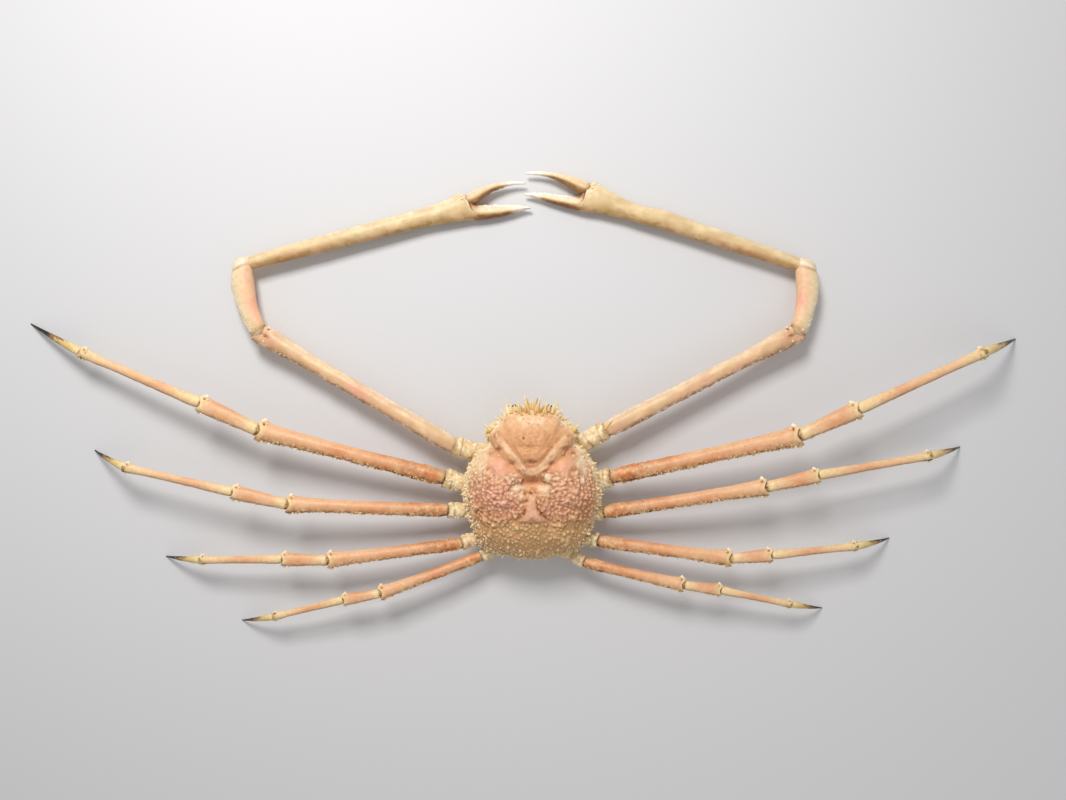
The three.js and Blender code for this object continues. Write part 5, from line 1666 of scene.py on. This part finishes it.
def edgeLoft(name, rows, tip, paint, slot, nodes, count, reach, sides=44, relief=None):
    # a shell between an upper and a lower edge seen from above; the tip closes to a point
    soft = smoothRows(rows, count, reach)
    closing = np.linspace(0, 1, 9)[1:-1]
    last, step = soft[-1], np.array([tip[0], tip[1], tip[0], tip[1], tip[2], 0.0])
    rounded = [last + (step - last) * c for c in closing]
    for row, c in zip(rounded, closing):
        grown = math.sqrt(1 - c * c) / (1 - c)
        middle = (row[:2] + row[2:4]) / 2
        row[:2], row[2:4] = middle + (row[:2] - middle) * grown, middle + (row[2:4] - middle) * grown
        row[5] *= grown
    soft = np.vstack([soft, rounded])
    count = len(soft)
    upper, lower = soft[:, :2], soft[:, 2:4]
    middle = np.column_stack([(upper + lower) / 2, soft[:, 4]])
    half = np.column_stack([(upper - lower) / 2, np.zeros(count)])
    turn = fullTurn * np.arange(sides) / sides
    stand = np.zeros((count, 3))
    stand[:, 2] = soft[:, 5] / 2
    cosine, sine = np.cos(turn), np.sin(turn)
    grid = middle[:, None] + cosine[None, :, None] * half[:, None] + sine[None, :, None] * stand[:, None]
    radial = grid - middle[:, None]
    radial = radial / np.maximum(np.linalg.norm(radial, axis=2), 1e-6)[..., None]
    run = np.concatenate([[0], np.cumsum(np.linalg.norm(np.diff(middle, axis=0), axis=1))])
    size = np.linalg.norm(half, axis=1)
    angle = (turn + math.pi) % fullTurn - math.pi
    info = {"t": (run / run[-1])[:, None], "angle": angle[None, :], "fromStart": run[:, None],
            "fromEnd": (run[-1] - run)[:, None], "width": armWidth, "length": run[-1], "points": grid,
            "size": size[:, None]}
    bumps = ((fieldNoise(grid.reshape(-1, 3), 16, 2.0) - 0.5) * 1.3
             + (fieldNoise(grid.reshape(-1, 3), 3.2, 8.0) - 0.5) * 0.35)
    push = bumps.reshape(count, sides) * np.clip(size / 14, 0.08, 1)[:, None]
    if relief is not None:
        push = push + relief(info)
    grid = grid + radial * push[..., None]
    info["points"] = grid
    masks = paint(info).reshape(-1, 4)
    points = np.vstack([grid.reshape(-1, 3), middle[0], tip])
    points[:, 2] = np.maximum(points[:, 2], 0.0)
    faces = ringFaces(count, sides)
    low, high, top = len(points) - 2, len(points) - 1, (count - 1) * sides
    faces += capFaces(top, low, high, sides)
    made = piece(name, points, faces, shells["clawShell"], np.vstack([masks, masks[0], masks[-1]]))
    fixNormals(made)
    hand(made, slot, *nodes)
    return {"middle": middle, "half": half, "stand": stand, "fromEnd": run[-1] - run}


def lowerSide(info, low=0.0, high=0.8):
    # the half toward the lower edge, as it shows from above
    return ease(-np.cos(info["angle"]), low, high)


def lipLine(info):
    # where the palm ends at the moving finger, slanting from its upper edge down to the gape
    return 122 + 22 * np.cos(info["angle"]) + 2.0 * np.sin(5 * info["angle"])


def handRelief(info):
    # a low keel on each side of the palm, a furrow along the finger, a collar at the moving finger
    finger = ease(-info["fromEnd"], -125, -95)
    keel = around(info, 0.55, 0.22) * (1 - finger)
    furrow = around(info, 1.35, 0.16) * finger * ease(info["fromEnd"], 8, 40)
    lip = info["fromEnd"] - lipLine(info)
    upper = around(info, 0.75, 0.85)
    return 0.5 * keel - 0.8 * furrow + upper * (2.0 * bell(lip - 3.5, 2.6) - 2.2 * bell(lip + 2.5, 2.2))


def handPaint(info):
    # cream palm with a pale upper edge that is partly painted highlight, blush near the wrist, a lower edge
    # darker and more olive, partly its own olive brown and partly painted shade, pink and white along the
    # finger's inner edge, painted shade in the gape and the crease at the moving finger
    upperEdge = around(info, 0.15, 0.75)
    lowerEdge = lowerSide(info)
    finger = ease(-info["fromEnd"], -128, -100)
    tip = ease(-info["fromEnd"], -52, -22)
    blush = 0.75 * bell(info["t"] - 0.16, 0.16) * bell(np.abs(info["angle"]) - 2.5, 0.8)
    blush = blush * (0.5 + 0.5 * streaks(info, 3.0, 40.0))
    blush = blush + 0.42 * lowerEdge * (1 - finger) * streaks(info, 5.0, 60.0)
    blush = blush + 0.85 * finger * upperEdge * bell(info["fromEnd"] - 100, 32)
    # pale upper edge: partly its own cream, partly painted highlight
    pale = np.maximum(np.maximum(tip, 0.9 * finger * around(info, 0.3, 0.85)), 0.42 * upperEdge)
    pale = pale * (0.85 + 0.15 * streaks(info, 2.0, 30.0))
    lip = info["fromEnd"] - lipLine(info)
    upper = around(info, 0.75, 0.85)
    # pale on the raised collar: painted highlight
    pale = np.maximum(pale, 0.8 * upper * bell(lip - 3.5, 3.0))
    # painted shade in the gape under the moving finger's root and in the crease beyond the collar
    gape = bell(info["fromEnd"] - 122, 11) * around(info, 0.3, 0.7) + 0.9 * upper * bell(lip + 2.5, 2.6)
    # darker and more olive toward the lower edge and on the finger's lower side: partly its own olive
    # brown, partly painted shade
    dark = lowerEdge * (0.05 + 0.12 * patches(info, 9, 6.0))
    dark = dark + 0.5 * finger * (1 - tip) * lowerSide(info, 0.1, 0.8)
    dark = dark + 0.7 * gape + 0.1 * (1 - finger) * streaks(info, 8.0, 30.0)
    olive = 0.75 * lowerEdge * (0.4 + 0.6 * streaks(info, 6.0, 50.0))
    olive = olive + 0.3 * (1 - finger) * patches(info, 30, 4.0)
    return stackMasks(info, pale, dark, blush, olive * (1 - 0.7 * tip))


def fingerPaint(info):
    # cream to white at the tip, paler on the upper side, partly painted highlight, brown and olive along
    # the biting edge, partly its own colour and partly painted shade
    tip = ease(-info["fromEnd"], -66, -24)
    inner = lowerSide(info, -0.1, 0.7)
    # darker and olive on the lower side along the biting edge: partly its own brown, partly painted shade
    dark = 0.36 * inner * (1 - tip) * (0.6 + 0.4 * streaks(info, 2.0, 20.0))
    dark = dark + 0.55 * bell(info["fromStart"], 9)
    # paler toward the tip, and on the upper side: partly its own yellow, partly painted highlight
    pale = np.maximum(tip, 0.3 * around(info, 0.4, 0.7) + 0.2 * info["t"])
    olive = (1 - tip) * (0.8 * inner + 0.25 * streaks(info, 5.0, 30.0))
    return stackMasks(info, pale, dark + 0.12 * inner * (1 - tip), 0.15 * (1 - tip), olive)


def fingerRelief(info):
    grain = grainOf(info, 5.0, 3.0)
    inner = opposite(info, 0.5) * ease(info["fromEnd"], 20, 50)
    furrow = around(info, 1.6, 0.16) * ease(info["fromEnd"], 10, 40) * ease(info["fromStart"], 8, 24)
    return 1.4 * inner * ease(grain, 0.5, 0.75) - 0.7 * furrow


def makeArms():
    teeth, lumps, thorny = [], [], []
    random = np.random.default_rng(29)
    for name, arm in arms.items():
        hip, shoulder, elbow, wrist, knuckle = (np.array(p, float) for p in arm["joints"])
        carpusEnd = np.array(arm["carpusEnd"], float)
        carpusEnd = carpusEnd + unit(carpusEnd - elbow) * 4
        shoulderNormal = bendNormal(hip, shoulder, elbow)
        elbowNormal = bendNormal(shoulder, elbow, carpusEnd)
        base = limb(
            camel(name + "_base"), "armBase", hip, shoulder, armWidth, unit(shoulder - hip), shoulderNormal,
            (0, 1, 0), basePaint, baseRelief, sides=40, finish="bellyShell", slot="leg_base_shell",
            nodes=[name + "_base"], notch=0.15)
        merus = limb(
            camel(name + "_merus"), "armMerus", shoulder, elbow, armWidth, shoulderNormal, elbowNormal,
            (0, 1, 0), armMerusPaint, armMerusRelief, sides=40, bow=4, finish="clawShell",
            slot="thigh_shell", nodes=[name + "_merus"], notch=0.3)
        outward = arm["outward"]
        wristNormal = unit(unit(carpusEnd - elbow) + (0.18 * outward, 0, 0))
        carpus = limb(
            camel(name + "_carpus"), "armCarpus", elbow, carpusEnd, armWidth, elbowNormal, wristNormal,
            (outward, 0, 0), armCarpusPaint, armCarpusRelief, sides=44, depth=0.8,
            swing=-outward * carpusSwing, finish="clawShell", slot="claw_shell",
            nodes=[name + "_carpus"], cup=False, dome=0.26)
        # palm and fixed finger are one piece, its root deep in the wrist
        along = unit(knuckle - wrist)
        upward = np.array([-along[1], along[0], 0]) * (-1 if along[0] < 0 else 1)
        rows = []
        length = np.linalg.norm(knuckle - wrist)
        for t in armSpec["palmShares"]:
            spot = wrist + along * length * t
            width = armWidth * float(softProfile(palmRows, np.array([max(t, 0)]), armWidth, length)[0])
            if abs(spot[0]) < abs(handRows[name][0][0]) + 20:
                break
            rows.append((*(spot + upward * width / 2)[:2], *(spot - upward * width / 2)[:2], spot[2] + 1,
                         width * 0.78))
        found = edgeLoft(camel(name + "_hand"), rows + handRows[name], handTips[name], handPaint,
                         "claw_shell", [name + "_propodus"], 320, 4.5, relief=handRelief)
        edgeLoft(camel(name + "_dactyl"), fingerRows[name], fingerTips[name], fingerPaint, "claw_shell",
                 [name + "_dactyl"], 90, 5.0, sides=36, relief=fingerRelief)
        # blunt teeth along the fixed finger, lumps around the hinge
        for k in range(armSpec["teeth"]):
            back = 98 - 74 * k / 16
            i = int(np.argmin(np.abs(found["fromEnd"] - back)))
            facing = unit(found["half"][i] + (0, 0, 3.5))
            size = (2.9 - 1.6 * k / 16) * random.uniform(0.75, 1.2)
            teeth.append((found["middle"][i] + found["half"][i] * 0.86 + (0, 0, 3.2), facing,
                          (size, size, size * 1.4), (0.9, 0.0, 0.35, 0)))
        for degrees, back, size in armSpec["hingeLumps"]:
            i = int(np.argmin(np.abs(found["fromEnd"] - back)))
            turn = math.radians(degrees)
            out = found["half"][i] * math.cos(turn) + found["stand"][i] * math.sin(turn)
            lumps.append((found["middle"][i] + out * 0.98, unit(out), (size, size * 1.3, size * 0.8),
                          (0.5, 0.0, 0.1, 0.1)))
        for degrees, back, size in armSpec["elbowBosses"]:
            spot, facing = surfaceSpot(merus, 1 - back * armWidth / merus["length"], degrees)
            thorny.append((spot + 0.6 * facing, facing, (size, size, size * 0.55), (0.35, 0.0, 0.45, 0.1)))
        for _ in range(26):
            spot, facing = surfaceSpot(carpus, random.uniform(0.02, 0.3) ** 1.2, random.uniform(-70, 80))
            size = random.uniform(1.0, 2.3)
            lumps.append((spot + 0.3 * facing, facing, (size, size, size),
                          (random.uniform(0.5, 1), 0, 0.1, 0)))
        for _ in range(60):
            spot, facing = surfaceSpot(base, random.uniform(0.02, 0.97), random.uniform(-180, 180))
            size = random.uniform(0.9, 2.4)
            lumps.append((spot + 0.5 * facing, facing, (size, size, size * 1.2),
                          (random.uniform(0.4, 1), 0, 0.1, 0)))
        for degrees, spacing in armSpec["spinuleRows"]:
            for k in range(int(merus["length"] / spacing)):
                t = (k + random.uniform(0.1, 0.9)) * spacing / merus["length"]
                if 0.04 < t < 0.93:
                    spot, facing = surfaceSpot(merus, t, degrees + random.uniform(-10, 10))
                    size = random.uniform(0.8, 1.6)
                    thorny.append((spot, unit(facing + 0.3 * merus["along"]), (size, size, size * 1.3),
                                   (random.uniform(0.4, 1), 0, 0.3, 0.2)))
    setThorns("clawTeeth", teeth, shells["tipShell"], "claw_shell",
              sides=9, bluntness=3.0, sizeSpread=0.12, seed=12)
    setThorns("armLumps", lumps, shells["bellyShell"], "leg_base_shell",
              sides=10, bluntness=2.8, sizeSpread=0.12, seed=23)
    setThorns("armSpinules", thorny, shells["clawShell"], "thigh_shell",
              sides=7, bluntness=2.2, sizeSpread=0.15, seed=27)
    points, faces, masks = spineMesh([(spineOfHip["root"], spineOfHip["tip"], spineOfHip["radius"])])
    hand(piece("hipSpine", points, faces, shells["spineShell"], masks), "leg_base_shell")


makeArms()
print("claw arms made")

# Underside and tail flap

flapSpec = {"rear": (0, -101, 3), "front": (0, 48, 3), "width": 62, "thickness": 0.3, "somites": 6,
            "taper": 0.42}
undersideRings = [(0.5, 0), (0.93, 0), (0.92, 0.08), (0.86, 0.41), (0.72, 0.84), (0.66, 0.95), (0.62, 1)]


def makeUnderside():
    spokes = 360
    bearing = np.linspace(0, fullTurn, spokes, endpoint=False)
    top = bodySpec["parting"] - gap
    rows = np.array(undersideRings)
    steps = np.linspace(0, len(rows) - 1, 60)
    share = np.interp(steps, np.arange(len(rows)), rows[:, 0])
    down = np.interp(steps, np.arange(len(rows)), rows[:, 1])
    inner = np.linspace(0.61, 0.03, 40)
    share, down = np.concatenate([share, inner]), np.concatenate([down, np.ones(40)])
    radius = share[:, None] * edgeRadius(bearing)[None]
    x, y = radius * np.sin(bearing), radius * np.cos(bearing)
    z = np.broadcast_to((top + (bodySpec["belly"] - top) * down)[:, None], x.shape).copy()
    # furrows between the breast plates run out to the gaps between the legs
    below = ease(down, 0.3, 0.9)[:, None]
    furrow = np.zeros_like(x)
    for outX, outY in ((110, 30), (125, -38), (118, -82), (80, -130)):
        way = unit((outX - 22, outY - (outY * 0.75 + 8)))
        start = np.array([22, outY * 0.75 + 8])
        offX, offY = np.abs(x) - start[0], y - start[1]
        beyond = np.clip(offX * way[0] + offY * way[1], 0, None)
        furrow = np.maximum(furrow, bell(np.hypot(offX - beyond * way[0], offY - beyond * way[1]), 3.0))
    noise = fieldNoise(np.stack([x, y, z], -1).reshape(-1, 3), 11.0).reshape(x.shape) - 0.5
    z = z + below * (2.6 * furrow + 1.0 * noise + 0.5)
    z = np.clip(z, bodySpec["belly"] - 0.6, top)
    grid = np.stack([x, y, z], -1)
    masks = np.stack([0.35 + 0 * x, 0.35 * furrow * below + 0.05, 0.2 + 0 * x], -1)
    count = len(share)
    points = np.vstack([grid.reshape(-1, 3), [0, 0, top], [0, 0, bodySpec["belly"]]])
    faces = ringFaces(count, spokes)
    low, high, last = len(points) - 2, len(points) - 1, (count - 1) * spokes
    faces += capFaces(last, low, high, spokes)
    made = piece("underside_shell", points, faces, shells["bellyShell"],
                 np.vstack([masks.reshape(-1, 3), [[0.3, 0.2, 0.1]] * 2]))
    fixNormals(made)
    hand(made, "belly_shell", "underside")


def makeFlap():
    rear, front = np.array(flapSpec["rear"], float), np.array(flapSpec["front"], float)
    count, sides = 160, 48
    t = np.linspace(0, 1, count)
    phase = (t * flapSpec["somites"]) % 1
    waist = 0.92 + 0.08 * ease(phase, 0, 0.3)
    size = flapSpec["width"] * waist * (1 + (flapSpec["taper"] - 1) * t)
    size = size * np.minimum(1, ease(t, -0.03, 0.03) + 0.5)
    size = size * (1 - 0.35 * ease(t, 0.93, 1.0))
    turn = fullTurn * np.arange(sides) / sides
    centre = rear + np.outer(t, front - rear)
    grid = centre[:, None, :] + np.stack([
        np.cos(turn)[None] * size[:, None] / 2, np.zeros((count, sides)),
        np.sin(turn)[None] * size[:, None] / 2 * flapSpec["thickness"]], -1)
    furrow = bell(phase, 0.06) + bell(phase - 1, 0.06)
    grid[..., 2] = np.clip(grid[..., 2], 0.0, bodySpec["belly"] - gap)
    masks = np.stack(np.broadcast_arrays(0.45, (0.3 * furrow)[:, None] + 0.04 * np.ones((1, sides)), 0.15),
                     -1)
    points = np.vstack([grid.reshape(-1, 3), rear * (1, 1, 0) + (0, -1, 2), front * (1, 1, 0) + (0, 1, 2)])
    faces = ringFaces(count, sides)
    low, high, last = len(points) - 2, len(points) - 1, (count - 1) * sides
    faces += capFaces(last, low, high, sides)
    made = piece("tailFlap", points, faces, shells["bellyShell"],
                 np.vstack([masks.reshape(-1, 3), [[0.3, 0.1, 0.1]] * 2]))
    fixNormals(made)
    hand(made, "belly_shell", "tail_flap")


makeUnderside()
makeFlap()
print("underside and tail flap made")

# Head: eyes, feelers and mouth plates

eyeSpec = {"at": (36, 158, 84.5), "root": (30, 140, 80), "radius": 5.4, "stalk": 3.5}
feelerSpec = {"root": (52, 138, 72), "at": (50, 178, 74), "width": 7.0}
mouthSpec = {"root": (15, 104, 9), "at": (13, 153, 39), "width": 27, "thickness": 0.55}
jointedSpec = {
    # width and joints of the small jointed pieces at the mouth and under the rostrum
    "Palp": (8.0, [(14, 151, 40), (12, 161, 35), (8, 163, 25), (5, 159, 17)]),
    "Antennule": (5.2, [(8, 154, 76), (8.5, 164, 77), (10, 169, 84), (12, 176, 88)]),
    "FeelerBase": (8.5, [(49, 140, 71), (49.5, 154, 72), (50, 163, 73)]),
}
smallRows = {
    "palp": [(0, 0, 0.8), (0.3, 0, 1.0), (0.8, 0, 0.95), (1, 0, 0.6)],
    "stalk": [(0, 0, 1.2), (0.5, 0, 1.0), (0.8, 0, 1.05), (1, 0, 1.1)],
    "feeler": [(0, 0, 1), (0.5, 0, 1.05), (0.56, 0, 0.72), (0.66, 0, 0.78), (0.7, 0, 0.46), (0.78, 0, 0.5),
               (0.81, 0, 0.3), (1, 0, 0.12)],
    "plate": [(0, 0, 0.7), (0, 0.15, 0.9), (0.5, 0, 1), (0.52, 0, 0.92), (0.8, 0, 0.86), (1, 0, 0.5)],
}


def smallPaint(pale, dark, blush):
    return lambda info: stackMasks(info, pale, dark + 0.08 * patches(info, 4, 2.0), blush)


def makeBall(name, centre, radii, material, slot, nodes):
    rings, sides = 24, 32
    points, faces = [], []
    for r in range(1, rings):
        tall = math.pi * r / rings
        for i in range(sides):
            turn = fullTurn * i / sides
            points.append((math.sin(tall) * math.cos(turn), math.sin(tall) * math.sin(turn),
                           math.cos(tall)))
    points = np.array(points + [(0, 0, 1), (0, 0, -1)]) * radii + centre
    faces = ringFaces(rings - 1, sides)
    low, high, last = len(points) - 2, len(points) - 1, (rings - 2) * sides
    faces += capFaces(last, low, high, sides)
    made = piece(name, points, faces, material)
    fixNormals(made)
    hand(made, slot, *nodes)


def plateRelief(info):
    # a joint line across, a shallow furrow along and a raised inner edge
    joint = bell(info["t"] - 0.56, 0.018)
    furrow = around(info, -0.9, 0.3) + around(info, 1.2, 0.3)
    grain = grainOf(info, 3.4, 2.0)
    return -1.5 * joint - 0.9 * furrow + 0.9 * (grain - 0.5)


def platePaint(info):
    joint = bell(info["t"] - 0.56, 0.03)
    rimmed = bell(info["fromEnd"], 4.0)
    dark = 0.45 * joint + 0.1 * patches(info, 5, 3.0)
    return stackMasks(info, 0.4 + 0.4 * rimmed, dark, 0.3, 0.3 * patches(info, 12, 1.0))


def makeHead():
    for label, way in (("left", -1), ("right", 1)):
        def mirrored(spot):
            return np.array(spot, float) * (way, 1, 1)

        def small(name, kind, start, end, width, paint, **rest):
            start, end = mirrored(start), mirrored(end)
            along = unit(end - start)
            limb(label + name, kind, start, end, width, along, along, (way, 0, 0), paint,
                 rows=smallRows[kind], finish="bellyShell", **rest)

        eyeAt, eyeRoot = mirrored(eyeSpec["at"]), mirrored(eyeSpec["root"])
        makeBall(label + "Cornea", eyeAt, eyeSpec["radius"] * np.array([0.92, 0.98, 0.86]), cornea, "eye",
                 [f"eye_{label}"])
        along = unit(eyeAt - eyeRoot)
        limb(label + "EyeStalk", "stalk", eyeRoot, eyeAt - along * 1.2, 2 * eyeSpec["stalk"], along, along,
             (way, 0, 0), smallPaint(0.1, 0.4, 0.3), rows=smallRows["stalk"], depth=1.0, sides=24,
             finish="bellyShell", slot="eye", cup=False)
        small("Feeler", "feeler", feelerSpec["root"], feelerSpec["at"], feelerSpec["width"],
              smallPaint(0.7, 0.02, 0.05), depth=1.0, sides=24, slot="feeler", nodes=[f"antenna_{label}"],
              tip=True)
        small("MouthPlate", "plate", mouthSpec["root"], mouthSpec["at"], mouthSpec["width"], platePaint,
              relief=plateRelief, depth=mouthSpec["thickness"], sides=36, slot="belly_shell",
              nodes=[f"mouthplate_{label}"], cup=False)
        for kind, (width, joints) in jointedSpec.items():
            for k, (root, tip) in enumerate(zip(joints[:-1], joints[1:])):
                small(f"{kind}{k + 1}", "palp", root, tip, width * (1 - 0.2 * k),
                      smallPaint(0.45, 0.12, 0.3), depth=0.85, sides=20, slot="belly_shell", cup=False)


makeHead()
print("head made")
